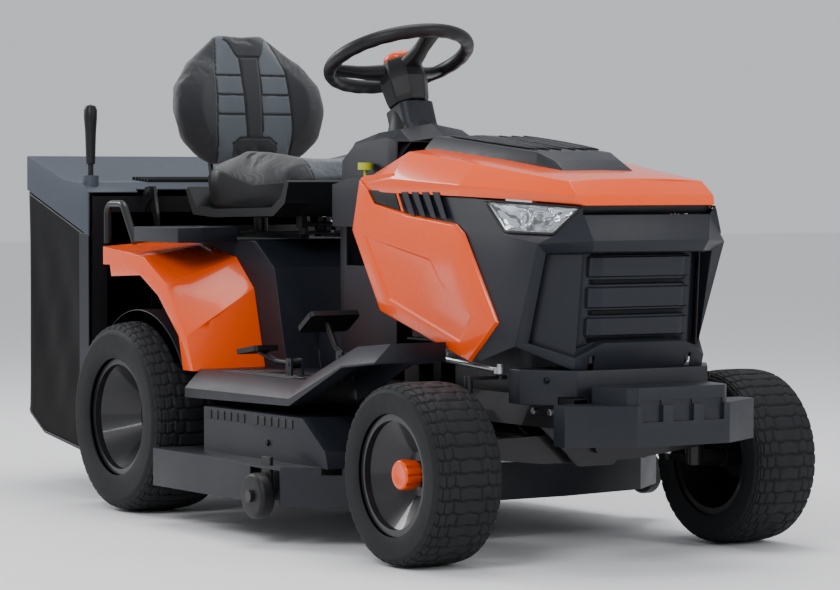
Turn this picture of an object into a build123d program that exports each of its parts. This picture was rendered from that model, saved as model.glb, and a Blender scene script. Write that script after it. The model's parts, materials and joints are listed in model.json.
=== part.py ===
"""Rear-discharge ride-on lawn tractor with a grass catcher, as an assembly of separate pieces.

Frame: millimetres, +X forward, +Y to the driver's left, +Z up. The origin is on the ground under the
middle of the whole machine. Pieces at the rear are placed from the rear axle, pieces at the front from
the front axle, so a change of wheelbase moves each with its own axle.
"""

import os
from math import cos, radians, sin, tan

from build123d import *

# ---------------------------------------------------------------- driving dimensions
wheelbase = 1288.0  # rear axle to front axle
front_overhang = 352.0  # front axle to the nose of the bumper guard
rear_overhang = 850.0  # rear axle to the back of the catcher

rear_tyre_radius = 228.6  # 18 inch tyre
rear_tyre_width = 212.0
rear_half_track = 363.0
rear_rim_radius = 140.0

front_tyre_radius = 190.5  # 15 inch tyre
front_tyre_width = 165.0
front_half_track = 409.0
front_rim_radius = 127.0

deck_half_width = 508.0  # outer edge of the plastic deck cover
deck_bottom = 90.0  # height of the skirt's edge with the deck raised
deck_top = 172.0  # top of the steel shell

hood_half_width = 245.0  # outside of the side panels
body_wall = 4.0  # plastic body panels
seat_half_width = 222.0
catcher_half_width = 384.0

gap = 0.4  # clearance between pieces that move past or sit by each other
pin_gap = 0.05  # radial clearance of a shaft in its bore

rear_x = (rear_overhang - wheelbase - front_overhang) / 2  # rear axle
front_x = rear_x + wheelbase  # front axle


def rear(*distances):
    """X of places given by their distance in front of the rear axle: one value, or a pair for a block."""
    placed = tuple(rear_x + distance for distance in distances)
    return placed if len(placed) > 1 else placed[0]


def front(*distances):
    """X of places given by their distance in front of the front axle."""
    placed = tuple(front_x + distance for distance in distances)
    return placed if len(placed) > 1 else placed[0]


def from_rear(*points):
    """Outline points in X-Z or X-Y whose X is given from the rear axle."""
    return [(rear_x + x, other) for x, other in points]


def from_front(*points):
    """Outline points in X-Z or X-Y whose X is given from the front axle."""
    return [(front_x + x, other) for x, other in points]


def save(solids, name):
    """Writes one node: a builder's part, or a group of separate solids, as parts/name.step."""
    shape = solids if isinstance(solids, (Part, Compound, Solid)) else Compound(children=list(solids))
    shape.label = name
    os.makedirs("parts", exist_ok=True)
    export_step(shape, f"parts/{name}.step")
    return shape


def across(y):
    """Sketch plane facing -Y at that y: local x is X and local y is Z; extrude goes towards -Y."""
    return Plane(origin=(0, y, 0), x_dir=(1, 0, 0), z_dir=(0, -1, 0))


def prism_y(points, y_low, y_high):
    """Solid of an X-Z outline between two values of y."""
    with BuildPart(mode=Mode.PRIVATE) as made:
        with BuildSketch(across(y_high)):
            with BuildLine():
                Polyline(*points, close=True)
            make_face()
        extrude(amount=y_high - y_low)
    return made.part


def prism_z(points, z_low, z_high):
    """Solid of an X-Y outline between two heights."""
    with BuildPart(mode=Mode.PRIVATE) as made:
        with BuildSketch(Plane.XY.offset(z_low)):
            with BuildLine():
                Polyline(*points, close=True)
            make_face()
        extrude(amount=z_high - z_low)
    return made.part


def prism_x(points, x_low, x_high):
    """Solid of a Y-Z outline between two values of x."""
    with BuildPart(mode=Mode.PRIVATE) as made:
        with BuildSketch(Plane.YZ.offset(x_low)):
            with BuildLine():
                Polyline(*points, close=True)
            make_face()
        extrude(amount=x_high - x_low)
    return made.part


def block(x, y, z):
    """Box between two limits on each axis, each given as a pair."""
    with BuildPart(mode=Mode.PRIVATE) as made:
        with Locations(((x[0] + x[1]) / 2, (y[0] + y[1]) / 2, (z[0] + z[1]) / 2)):
            Box(x[1] - x[0], y[1] - y[0], z[1] - z[0])
    return made.part


def rod(start, end, radius):
    """Round bar between two points."""
    axis = Vector(*end) - Vector(*start)
    with BuildPart(mode=Mode.PRIVATE) as made:
        with BuildSketch(Plane(origin=start, z_dir=axis)):
            Circle(radius)
        extrude(amount=axis.length)
    return made.part


def pipe(start, end, radius, bore):
    """Round tube between two points."""
    axis = Vector(*end) - Vector(*start)
    with BuildPart(mode=Mode.PRIVATE) as made:
        with BuildSketch(Plane(origin=start, z_dir=axis)):
            Circle(radius)
            Circle(bore, mode=Mode.SUBTRACT)
        extrude(amount=axis.length)
    return made.part


def mirrored(shape):
    """The same piece on the other side of the machine."""
    with BuildPart(mode=Mode.PRIVATE) as made:
        add(shape)
        mirror(about=Plane.XZ, mode=Mode.REPLACE)
    return made.part


def pair(shape):
    """A piece and its copy on the other side, as separate solids."""
    return [shape, mirrored(shape)]


def fused(*shapes):
    """Several solids as one."""
    with BuildPart(mode=Mode.PRIVATE) as made:
        for shape in shapes:
            add(shape)
    return made.part


def less(shape, *tools):
    """A solid with others cut out of it."""
    with BuildPart(mode=Mode.PRIVATE) as made:
        add(shape)
        for tool in tools:
            add(tool, mode=Mode.SUBTRACT)
    return made.part


def common(first, second):
    """The space that two solids share."""
    with BuildPart(mode=Mode.PRIVATE) as made:
        add(first)
        add(second, mode=Mode.INTERSECT)
    return made.part


def ruled(sections):
    """Solid through several X sections: each is an x and a closed Y-Z outline with as many points."""
    with BuildPart(mode=Mode.PRIVATE) as made:
        for x, points in sections:
            with BuildSketch(Plane.YZ.offset(x)):
                with BuildLine():
                    Polyline(*points, close=True)
                make_face()
        loft(ruled=True)
    return made.part


def swept(points, radii, radius):
    """Round bar bent along points, with a radius at each corner."""
    with BuildPart(mode=Mode.PRIVATE) as made:
        with BuildLine() as path:
            FilletPolyline(*points, radius=radii)
        start = path.line @ 0
        with BuildSketch(Plane(origin=start, z_dir=path.line % 0)):
            Circle(radius)
        sweep(path=path.line)
    return made.part


def turned(points, centre):
    """Solid of revolution about the Y axis through centre, from (y offset, radius) points."""
    plane = Plane(origin=centre, x_dir=(0, 1, 0), z_dir=(1, 0, 0))
    with BuildPart(mode=Mode.PRIVATE) as made:
        with BuildSketch(plane):
            with BuildLine():
                Polyline(*points, close=True)
            make_face()
        revolve(axis=Axis(centre, (0, 1, 0)))
    return made.part


# ---------------------------------------------------------------- wheels
tyre_wall = 11.0
rim_wall = 4.0
spindle_radius = 10.0
rear_shaft_radius = 12.5


def tyre(centre, radius, width, rim_radius):
    """Hollow tubeless tyre: crowned tread, round shoulders and beads that seat on the rim."""
    half = width / 2
    bead = half * 0.80  # beads stand inside the section's widest point
    seat = rim_radius - 10  # bead seat, a little under the rim flange
    outer = [(-bead, seat), (-bead, rim_radius + 3), (-half, radius * 0.82), (-half * 0.96, radius * 0.93)]
    outer += [(-half * 0.76, radius * 0.99)]
    outer += [(0, radius)] + [(-y, z) for y, z in reversed(outer)]
    inner = [(-bead + tyre_wall, seat), (-half + tyre_wall, radius * 0.82), (-half * 0.8, radius * 0.93 - 6)]
    inner += [(0, radius - tyre_wall)] + [(-y, z) for y, z in reversed(inner)]
    return turned(outer + list(reversed(inner)), centre)


def rim(centre, side, width, rim_radius, dish, hub_radius, hub_bore, hub_half):
    """One-piece wheel: two flanges, barrel, dished disc and hub. side is -1 on the right, 1 on the left."""
    bead = width / 2 * 0.80
    barrel = rim_radius - 10 - gap
    out = bead + gap + rim_wall
    disc = out - dish  # how far out the disc's flat middle stands
    flange = [(-out, rim_radius), (-out, barrel - rim_wall), (out, barrel - rim_wall), (out, rim_radius)]
    flange += [(out - rim_wall, rim_radius), (out - rim_wall, barrel), (rim_wall - out, barrel)]
    flange += [(rim_wall - out, rim_radius)]
    shell = turned([(y * side, z) for y, z in flange], centre)
    cup = [(out - 14, barrel - rim_wall + 1), (disc, hub_radius * 1.9), (disc, hub_radius - 1)]
    cup += [(disc - rim_wall, hub_radius - 1), (disc - rim_wall, hub_radius * 1.9 + 2)]
    cup += [(out - 14 - rim_wall, barrel - rim_wall + 1)]
    hub = [(disc + 6, hub_bore), (disc + 6, hub_radius), (disc - hub_half, hub_radius), (disc - hub_half, hub_bore)]
    with BuildPart(mode=Mode.PRIVATE) as made:
        add(shell)
        add(turned([(y * side, z) for y, z in cup], centre))
        add(turned([(y * side, z) for y, z in hub], centre))
    return made.part


front_dish = 62.0
rear_dish = 92.0
cap_radius = 32.0
cap_length = 42.0
cap_flutes = 8
front_hub_half = 46.0
rear_hub_half = 50.0
front_hub_radius = 24.0
front_rim_out = front_tyre_width * 0.4 + gap + rim_wall  # rim's outer face from the wheel's middle
rear_rim_out = rear_tyre_width * 0.4 + gap + rim_wall
front_disc = front_rim_out - front_dish
rear_disc = rear_rim_out - rear_dish


def hub_cap(side):
    """Fluted orange cap pressed over the end of the front hub."""
    base = front_half_track + front_disc + 6 + gap
    centre = (front_x, side * base, front_tyre_radius)
    with BuildPart(mode=Mode.PRIVATE) as made:
        with BuildSketch(Plane(origin=centre, z_dir=(0, side, 0))):
            Circle(cap_radius)
        extrude(amount=cap_length)
        with BuildSketch(Plane(origin=(front_x, side * (base + 10), front_tyre_radius), z_dir=(0, side, 0))):
            with PolarLocations(cap_radius + 1, cap_flutes):
                Circle(5.5)
        extrude(amount=cap_length, mode=Mode.SUBTRACT)
        with BuildSketch(Plane(origin=centre, z_dir=(0, side, 0))):
            Circle(spindle_radius + 6)
        extrude(amount=cap_length - 10, mode=Mode.SUBTRACT)
    return made.part


sides = {"right": -1, "left": 1}
for name, side in sides.items():
    front_centre = (front_x, side * front_half_track, front_tyre_radius)
    rear_centre = (rear_x, side * rear_half_track, rear_tyre_radius)
    save(tyre(front_centre, front_tyre_radius, front_tyre_width, front_rim_radius), f"front_tyre_{name}")
    save(tyre(rear_centre, rear_tyre_radius, rear_tyre_width, rear_rim_radius), f"rear_tyre_{name}")
    front_bore = spindle_radius + pin_gap
    front_rim = rim(front_centre, side, front_tyre_width, front_rim_radius, front_dish, front_hub_radius,
                    front_bore, front_hub_half)
    save(front_rim, f"front_rim_{name}")
    rear_rim = rim(rear_centre, side, rear_tyre_width, rear_rim_radius, rear_dish, 34.0,
                   rear_shaft_radius + gap, rear_hub_half)
    shaft_in = rear_half_track - 140  # inner end, inside the transaxle's axle tube
    shaft_out = rear_half_track + rear_disc + 14
    shaft = rod((rear_x, side * shaft_in, rear_tyre_radius), (rear_x, side * shaft_out, rear_tyre_radius),
                rear_shaft_radius)
    nut_start = rear_half_track + rear_disc + 6 + gap
    nut = pipe((rear_x, side * nut_start, rear_tyre_radius), (rear_x, side * (nut_start + 9), rear_tyre_radius),
               22.0, rear_shaft_radius + gap)
    save([rear_rim, shaft, nut], f"rear_rim_{name}")
    save(hub_cap(side), f"hub_cap_{name}")

# ---------------------------------------------------------------- frame
rail_half_gap = 150.0  # inner faces of the two rails
rail_width = 40.0
rail_bottom = 285.0
rail_top = 350.0
rail_rear = rear_x - 236
rail_front = front_x + 229
rail_wall = 3.0
plate = 5.0
rear_plate_x = rear_x - 246  # rear face of the rear plate
rear_plate_half = 236.0
pivot_radius = 8.0

rails = []
for side in sides.values():
    low, high = sorted((side * rail_half_gap, side * (rail_half_gap + rail_width)))
    with BuildPart() as rail:
        add(block((rail_rear, rail_front), (low, high), (rail_bottom, rail_top)))
        hollow = (low + rail_wall, high - rail_wall)
        add(block((rail_rear - 1, rail_front + 1), hollow, (rail_bottom + rail_wall, rail_top - rail_wall)),
            mode=Mode.SUBTRACT)
    rails.append(rail.part)
cross_half = rail_half_gap
cross_members = [
    block((x - 20, x + 20), (-cross_half, cross_half), (rail_bottom + 10, rail_bottom + 40))
    for x in (front_x - 500, front_x + 49)
]
hitch_length = 92.0
hitch_x = rear_x - 315
hitch_hole = 6.5
with BuildPart() as hitch:
    hitch_sketch_z = 262 - plate
    with BuildSketch(Plane.XY.offset(hitch_sketch_z)):
        with Locations((hitch_x + hitch_length / 2, 0)):
            RectangleRounded(hitch_length + 40, 90, 18)
    extrude(amount=plate)
    with Locations((hitch_x, 0, hitch_sketch_z + plate / 2)):
        Cylinder(hitch_hole, plate * 2, mode=Mode.SUBTRACT)

side_plate_low = 205.0
axle_pin_radius = 10.0
axle_pivot_z = 228.0
front_bracket = []
for x in (front_x - 46, front_x + 38):  # two hangers carry the pin of the swinging front axle
    outline = [(-cross_half, rail_bottom), (-cross_half, rail_top)]
    outline += [(cross_half, rail_top), (cross_half, rail_bottom)]
    outline += [(44, side_plate_low - 14), (-44, side_plate_low - 14)]
    with BuildPart() as hanger:
        add(prism_x(outline, x, x + 8))
        with Locations(Plane(origin=(x + 4, 0, axle_pivot_z), z_dir=(1, 0, 0))):
            Cylinder(axle_pin_radius + pin_gap, 40, mode=Mode.SUBTRACT)
    front_bracket.append(hanger.part)
axle_pin = rod((front_x - 62, 0, axle_pivot_z), (front_x + 58, 0, axle_pivot_z), axle_pin_radius)

# ---------------------------------------------------------------- transaxle
tube_radius = 34.0
tube_end = rear_half_track - 116
axle_tube = pipe((rear_x, -tube_end, rear_tyre_radius), (rear_x, tube_end, rear_tyre_radius),
                 tube_radius, rear_shaft_radius + gap)
with BuildPart() as gear_case:
    add(block((rear_x - 72, rear_x + 92), (-68, 68), (150, 194)))
    fillet(gear_case.edges().filter_by(Axis.Z), 16)
hydro_unit = block((rear_x + 34.5, rear_x + 92), (-60, 60), (194, 268))
axle_mounts = []
for side in sides.values():
    low, high = sorted((side * (rail_half_gap + 4), side * (rail_half_gap + 34)))
    mount_low = rear_tyre_radius + tube_radius - 1
    axle_mounts.append(block((rear_x - 30, rear_x + 30), (low, high), (mount_low, rail_bottom)))
input_pulley_x = rear_x + 140
input_pulley_y = -88.0
input_pulley_radius = 42.0
with BuildPart() as transaxle:
    add(axle_tube)
    add(block((rear_x - 30, rear_x + 30), (-60, 60), (190, 228.6 - rear_shaft_radius - 2)))
    add(gear_case.part)
    add(hydro_unit)
    add(block((rear_x + 90, input_pulley_x + 20), (input_pulley_y - 26, -30), (196, 226)))
    add(block((rear_x + 60, rear_x + 92), (input_pulley_y - 26, -30), (196, 226)))
    for mount in axle_mounts:
        add(mount)
    with Locations(Plane(origin=(rear_x, 0, rear_tyre_radius), z_dir=(0, 1, 0))):
        Cylinder(rear_shaft_radius + gap, 2 * rear_half_track, mode=Mode.SUBTRACT)
pulley_z = 240.0
input_pulley = pipe((input_pulley_x, input_pulley_y, 226 + gap), (input_pulley_x, input_pulley_y, pulley_z + 12),
                    input_pulley_radius, 6)
input_post = rod((input_pulley_x, input_pulley_y, 226), (input_pulley_x, input_pulley_y, pulley_z + 16), 6 - pin_gap)
save([transaxle.part, input_pulley, input_post], "transaxle")

# ---------------------------------------------------------------- engine and what stands by it
engine_x = front_x - 150
engine_bed = rail_top
crank_radius = 12.5
with BuildPart() as engine_block:
    with BuildSketch(Plane.XY.offset(engine_bed)):
        with Locations((engine_x, 0)):
            RectangleRounded(300, 300, 40)
    extrude(amount=110)
    with Locations((engine_x, 0, engine_bed)):
        Cylinder(crank_radius, 150, align=(Align.CENTER, Align.CENTER, Align.MAX))
    for side in sides.values():
        low, high = sorted((side * 60, side * 168))
        add(block((engine_x - 40, engine_x + 130), (low, high), (engine_bed + 105, engine_bed + 190)))

with BuildPart() as shroud:
    with BuildSketch(Plane.XY.offset(engine_bed + 190 + gap)):
        with Locations((engine_x, 0)):
            RectangleRounded(310, 320, 60)
    extrude(amount=96)
    fillet(shroud.faces().sort_by(Axis.Z)[-1].edges(), 24)
    with BuildSketch(Plane.XY.offset(engine_bed + 190 + 60)):
        with Locations((engine_x, 0)):
            Circle(96)
    extrude(amount=80, mode=Mode.SUBTRACT)
    with BuildSketch(Plane.XY.offset(engine_bed + 190 + 64)):
        with Locations((engine_x, 0)):
            Circle(70)
            with PolarLocations(47, 12):
                Rectangle(30, 6, mode=Mode.SUBTRACT)
    extrude(amount=18)
    with BuildSketch(Plane.XY.offset(engine_bed + 190 + 59)):
        with Locations((engine_x, 0)):
            Circle(20)
    extrude(amount=8)
save([engine_block.part, shroud.part], "engine")

muffler_x = front_x + 50
muffler_z = 482.0
with BuildPart() as muffler:
    with BuildSketch(Plane(origin=(muffler_x, -110, muffler_z), z_dir=(0, 1, 0))):
        Ellipse(58, 46)
    extrude(amount=220)
    fillet(muffler.edges(), 8)
muffler_strap = block((front_x + 46, front_x + 52), (-20, 20), (rail_bottom + 40, muffler_z - 50))
exhaust = pipe((engine_x + 130.3, -90, muffler_z), (muffler_x - 30, -90, muffler_z), 14, 11)
stub = pipe((engine_x + 130.3, 90, muffler_z), (muffler_x - 30, 90, muffler_z), 14, 11)
save(fused(muffler.part, muffler_strap, exhaust, stub), "muffler")

tank_low, tank_high = engine_x - 250, engine_x - 170
with BuildPart() as fuel_tank:
    add(block((tank_low, tank_high), (20, 200), (rail_top + 100, rail_top + 300)))
    fillet(fuel_tank.edges(), 14)
    with Locations(((tank_low + tank_high) / 2, 110, rail_top + 306)):
        Cylinder(28, 20)

battery_z = rail_top + 100
with BuildPart() as battery:
    add(block((tank_low, tank_high), (-180, 0), (battery_z, battery_z + 150)))
    for y in (-150, -30):
        with Locations(((tank_low + tank_high) / 2, y, battery_z + 155)):
            Cylinder(7, 12)
    chamfer(battery.faces().sort_by(Axis.Z)[0].edges(), 2)
shelf = block((tank_low - 2, tank_high + 2), (-192, 208), (battery_z - 4, battery_z))
shelf_legs = [
    block((tank_high - 30, tank_high + 2), tuple(sorted((side * (rail_half_gap + 4), side * (rail_half_gap + 8)))),
          (rail_top, battery_z - 4)) for side in sides.values()
]
save([battery.part, fuel_tank.part, shelf, *shelf_legs], "tank_and_battery")

# ---------------------------------------------------------------- steering and front axle
kingpin_y = 295.0
kingpin_radius = 9.0
boss_radius = 20.0
boss_low, boss_high = 214.0, 262.0
beam_half = 20.0  # half the beam's length along X
hanger_gap = 38.0 - gap

beam_outline = [(-kingpin_y, 206 + 12), (-kingpin_y, 254), (-120, 258), (120, 258), (kingpin_y, 254)]
beam_outline += [(kingpin_y, 218), (120, 198), (-120, 198)]
beam_bosses = [
    rod((front_x, side * kingpin_y, boss_low), (front_x, side * kingpin_y, boss_high), boss_radius)
    for side in sides.values()
]
beam_body = fused(prism_x(beam_outline, front_x - beam_half, front_x + beam_half), *beam_bosses,
                  rod((front_x - hanger_gap, 0, axle_pivot_z), (front_x + hanger_gap, 0, axle_pivot_z), 18))
kingpin_bores = [
    rod((front_x, side * kingpin_y, 180), (front_x, side * kingpin_y, 300), kingpin_radius + pin_gap)
    for side in sides.values()
]
beam_pin_bore = rod((front_x - 80, 0, axle_pivot_z), (front_x + 80, 0, axle_pivot_z), axle_pin_radius + pin_gap)
save(less(beam_body, beam_pin_bore, *kingpin_bores), "axle_beam")

tie_arm = 90.0  # length of the rearward arms
steer_arm = 80.0  # length of the drag link's arm
tie_rod_z = 200.0
steer_arm_z = 380.0
spindle_end = front_half_track + 40
for name, side in sides.items():
    y = side * kingpin_y
    foot = rod((front_x, y, 176), (front_x, y, boss_low - gap), boss_radius)
    kingpin = rod((front_x, y, 176), (front_x, y, 276), kingpin_radius)
    collar = rod((front_x, y, boss_high + gap), (front_x, y, boss_high + 6), 14)
    spindle = rod((front_x, y, front_tyre_radius), (front_x, side * spindle_end, front_tyre_radius), spindle_radius)
    shoulder_start = side * (front_half_track - (front_hub_half - front_disc) - gap)
    shoulder = rod((front_x, side * (kingpin_y + 12), front_tyre_radius), (front_x, shoulder_start, front_tyre_radius),
                   17)
    arm = block((front_x - tie_arm, front_x), (y - 10, y + 10), (181, tie_rod_z - 6 - gap))
    arm_end = rod((front_x - tie_arm, y, 181), (front_x - tie_arm, y, tie_rod_z - 6 - gap), 14)
    stud = rod((front_x - tie_arm, y, 185), (front_x - tie_arm, y, tie_rod_z + 9), 5)
    pieces = [foot, kingpin, collar, spindle, shoulder, arm, arm_end, stud]
    if name == "right":
        pieces.append(rod((front_x, y, 270), (front_x, y, steer_arm_z + 8), kingpin_radius))
        pieces.append(block((front_x - 11, front_x + 11), (y, y + steer_arm), (steer_arm_z, steer_arm_z + 8)))
        pieces.append(rod((front_x, y + steer_arm, steer_arm_z), (front_x, y + steer_arm, steer_arm_z + 8), 15))
    save(fused(*pieces), f"knuckle_{name}")

tie_x = front_x - tie_arm
tie_body = fused(rod((tie_x, -kingpin_y, tie_rod_z), (tie_x, kingpin_y, tie_rod_z), 5.8), *[
    rod((tie_x, side * kingpin_y, tie_rod_z - 6), (tie_x, side * kingpin_y, tie_rod_z + 6), 13)
    for side in sides.values()
])
tie_bores = [
    rod((tie_x, side * kingpin_y, tie_rod_z - 20), (tie_x, side * kingpin_y, tie_rod_z + 20), radius)
    for side, radius in ((-1, 5 + pin_gap), (1, 5 + gap))
]
save(less(tie_body, *tie_bores), "tie_rod")

# the steering column leans back: its direction from the lower joint up to the wheel
column_lean = 22.0
wheel_centre_x = rear(544)
wheel_centre_z = 1077.0
wheel_ring_radius = 164.5
wheel_tube_radius = 14.0
column_joint_z = 560.0
column_up = Vector(-sin(radians(column_lean)), 0, cos(radians(column_lean)))
lower_shaft_x = wheel_centre_x + (wheel_centre_z - column_joint_z) * tan(radians(column_lean))
column_length = (wheel_centre_z - column_joint_z) / cos(radians(column_lean))
column_foot = Vector(lower_shaft_x, 0, column_joint_z)


def column(distance):
    """Point on the column's axis, that far up from its lower joint."""
    return column_foot + column_up * distance


gear_module = 3.0
pinion_teeth = 10
sector_teeth = 96  # on the whole circle
sector_shown = 19
gear_low, gear_high = 400.0, 409.0
pinion_pitch = gear_module * pinion_teeth / 2
sector_pitch = gear_module * sector_teeth / 2
sector_x = lower_shaft_x + 120
sector_y = -((pinion_pitch + sector_pitch) ** 2 - 120.0**2) ** 0.5
drag_link_y = -(kingpin_y - steer_arm)
bracket_low, bracket_high = 390.0, 395.0
column_shaft_radius = 10.0


def gear_disc(centre, pitch_radius, teeth, first, count, turn):
    """Spur gear blank with tapered teeth: only count of them, starting at tooth number first."""
    root = pitch_radius - 1.25 * gear_module
    step = 360 / teeth
    half_angle = step * 0.2  # half a tooth at the pitch circle, a little under a quarter of the step
    with BuildPart(mode=Mode.PRIVATE) as made:
        with BuildSketch(Plane.XY.offset(gear_low)):
            with Locations(centre):
                Circle(root)
            for number in range(first, first + count):
                angle = radians(turn + number * step)
                corners = []
                for radius, share in ((root - 0.5, -1.35), (pitch_radius + 0.8 * gear_module, -0.55),
                                      (pitch_radius + 0.8 * gear_module, 0.55), (root - 0.5, 1.35)):
                    around = angle + radians(half_angle) * share
                    corners.append((centre[0] + radius * cos(around), centre[1] + radius * sin(around)))
                with BuildLine():
                    Polyline(*corners, close=True)
                make_face()
        extrude(amount=gear_high - gear_low)
    return made.part


pinion_centre = (lower_shaft_x, 0)
sector_centre = (sector_x, sector_y)
mesh_angle = Vector(-120, -sector_y, 0).get_signed_angle(Vector(1, 0, 0), Vector(0, 0, -1))
sector_wheel = gear_disc(sector_centre, sector_pitch, sector_teeth, -(sector_shown // 2), sector_shown, mesh_angle)
sector_span = radians(360 / sector_teeth * sector_shown / 2 + 3)
wedge = [sector_centre]
for share in (-1, -0.5, 0, 0.5, 1):
    around = radians(mesh_angle) + sector_span * share
    wedge.append((sector_x + 190 * cos(around), sector_y + 190 * sin(around)))
sector_face = common(sector_wheel, prism_z(wedge, gear_low - 1, gear_high + 1))
sector_arm = block((sector_x - 14, sector_x + 14), (drag_link_y, sector_y), (gear_low, gear_high))
link_rear_z = 424.0
sector_pin_radius = 8.0
ball_pin = 5.0
fork_pin = 4.0
open_pivot_gap = 3.5  # room at the link's front end for the swing of the axle and the arcs of the arms
sector_parts = [
    sector_face, sector_arm,
    rod((sector_x, sector_y, bracket_high + gap), (sector_x, sector_y, gear_high + 5), 24),
    rod((sector_x, drag_link_y, gear_low), (sector_x, drag_link_y, gear_high), 16),
]
sector_bore = rod((sector_x, sector_y, 380), (sector_x, sector_y, 430), sector_pin_radius + pin_gap)
ball_bore = rod((sector_x, drag_link_y, 380), (sector_x, drag_link_y, 430), ball_pin + pin_gap)
save(less(fused(*sector_parts), sector_bore, ball_bore), "sector_gear")

fork_cheeks = [
    block((sector_x - 9, sector_x + 9), tuple(sorted((drag_link_y + side * 8, drag_link_y + side * 12))),
          (gear_high + gap, link_rear_z + 9)) for side in sides.values()
]
fork = fused(
    *fork_cheeks,
    block((sector_x - 9, sector_x + 9), (drag_link_y - 12, drag_link_y + 12), (gear_high + gap, gear_high + 4)),
    rod((sector_x, drag_link_y, gear_low - 6), (sector_x, drag_link_y, gear_high + 2), ball_pin),
    rod((sector_x, drag_link_y, gear_low - 8), (sector_x, drag_link_y, gear_low - gap), 9),
    rod((sector_x, drag_link_y - 11, link_rear_z), (sector_x, drag_link_y + 11, link_rear_z), fork_pin),
)
save(fork, "link_fork")

link_start = (sector_x, drag_link_y, link_rear_z)
link_front_z = steer_arm_z + 8 + open_pivot_gap + 7
link_end = (front_x, drag_link_y, link_front_z)
link_body = fused(
    rod(link_start, link_end, 7),
    rod((sector_x, drag_link_y - 8 + gap, link_rear_z), (sector_x, drag_link_y + 8 - gap, link_rear_z), 8.5),
    rod((front_x, drag_link_y, link_front_z - 7), (front_x, drag_link_y, link_front_z + 7), 14),
    rod((front_x, drag_link_y, link_front_z + 6), (front_x, drag_link_y, link_front_z + 13), 7),
)
link_bore = rod((sector_x, drag_link_y - 20, link_rear_z), (sector_x, drag_link_y + 20, link_rear_z),
                fork_pin + pin_gap)
save(less(link_body, link_bore), "drag_link")

pinion_turn = mesh_angle + 180 + 180 / pinion_teeth
pinion = gear_disc(pinion_centre, pinion_pitch, pinion_teeth, 0, pinion_teeth, pinion_turn)
lower_radius = 9.0
lower_shaft = fused(
    pinion,
    rod((lower_shaft_x, 0, 384), (lower_shaft_x, 0, column_joint_z - 6), lower_radius),
    rod((lower_shaft_x, 0, 383), (lower_shaft_x, 0, bracket_low - gap), 14),
    rod((lower_shaft_x, 0, column_joint_z - 30), (lower_shaft_x, 0, column_joint_z - 6), 13),
)
save(lower_shaft, "lower_shaft")

steer_plate = block((lower_shaft_x - 56, sector_x + 44), (-190, 190), (bracket_low, bracket_high))
plate_bores = [
    rod((lower_shaft_x, 0, 380), (lower_shaft_x, 0, 400), lower_radius + pin_gap),
]
plate_legs = [
    block((x, x + 60), (side * 172 - 4, side * 172 + 4), (rail_top, bracket_low))
    for side in sides.values() for x in (lower_shaft_x - 50, sector_x - 24)
]
sector_pin = rod((sector_x, sector_y, bracket_low), (sector_x, sector_y, gear_high + 12), sector_pin_radius)
steering_bracket = fused(less(steer_plate, *plate_bores), *plate_legs, sector_pin)

# wheel, column shaft and cap
hub_low, hub_high = 437.0, 523.0  # along the column
wheel_centre = column(column_length)
wheel_plane = Plane(origin=tuple(wheel_centre), x_dir=(0, 1, 0), z_dir=tuple(column_up))
with BuildPart() as steering_wheel:
    add(rod(tuple(column(hub_low)), tuple(column(hub_high)), 46))
    with BuildSketch(Plane(origin=tuple(column(hub_low + 16)), x_dir=(0, 1, 0), z_dir=tuple(column_up))):
        RegularPolygon(62, 8)
    extrude(amount=hub_high - hub_low - 16)
    for angle in (90, 210, 330):
        around = radians(angle)
        inner = wheel_plane.from_local_coords(Vector(40 * cos(around), 40 * sin(around), hub_high - 18 - column_length))
        outer = wheel_plane.from_local_coords(Vector(160 * cos(around), 160 * sin(around), -4))
        add(rod(tuple(inner), tuple(outer), 15))
    with BuildSketch(Plane(origin=tuple(wheel_centre), x_dir=tuple(column_up), z_dir=(0, 1, 0))):
        with Locations((0, wheel_ring_radius)):
            Circle(wheel_tube_radius)
    revolve(axis=Axis(tuple(wheel_centre), tuple(column_up)))
column_shaft = rod(tuple(column(12)), tuple(column(hub_low + gap)), column_shaft_radius)
save([steering_wheel.part, less(column_shaft, rod(tuple(column(hub_low)), tuple(column(hub_low + 5)), 20))],
     "steering_wheel")
save(rod(tuple(column(hub_high + gap)), tuple(column(hub_high + 18)), 32), "steering_cap")

# dash tower with the column's cover and upper bearing
dash_half = 130.0
dash_wing = 166.0
tower_foot = 356.0 + gap  # stands on the footboards
tower_outline = from_rear((500, tower_foot), (496, 700), (506, 842), (560, 878), (700, 892), (742, 884), (742, 416),
                          (692, 416), (692, tower_foot))
tower_inner = from_rear((504, 340), (500, 700), (510, 839), (562, 874), (700, 888), (760, 880), (760, 340))
wing_outline = from_rear((520, 690), (520, 786), (600, 800), (700, 800), (742, 790), (742, 690))
wing_inner = from_rear((524, 600), (524, 783), (600, 796), (760, 796), (760, 600))
dash_shell = less(fused(prism_y(tower_outline, -dash_half, dash_half), prism_y(wing_outline, -dash_wing, dash_wing)),
                  prism_y(tower_inner, 4 - dash_half, dash_half - 4), prism_y(wing_inner, 4 - dash_wing, dash_wing - 4))
cover_low, cover_high = 330.0, hub_low - 3
with BuildPart() as column_cover:
    with BuildSketch(Plane(origin=tuple(column(cover_low)), x_dir=(0, 1, 0), z_dir=tuple(column_up))):
        RectangleRounded(116, 120, 20)
    with BuildSketch(Plane(origin=tuple(column(cover_low + 50)), x_dir=(0, 1, 0), z_dir=tuple(column_up))):
        RectangleRounded(90, 90, 20)
    loft()
    with BuildSketch(Plane(origin=tuple(column(cover_low + 50)), x_dir=(0, 1, 0), z_dir=tuple(column_up))):
        RectangleRounded(90, 90, 20)
    extrude(amount=cover_high - cover_low - 50)
shaft_bore = rod(tuple(column(150)), tuple(column(hub_low + 20)), column_shaft_radius + pin_gap)
control_x = rear(640)
control_y = 150.0
wing_top = 800.0
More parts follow.
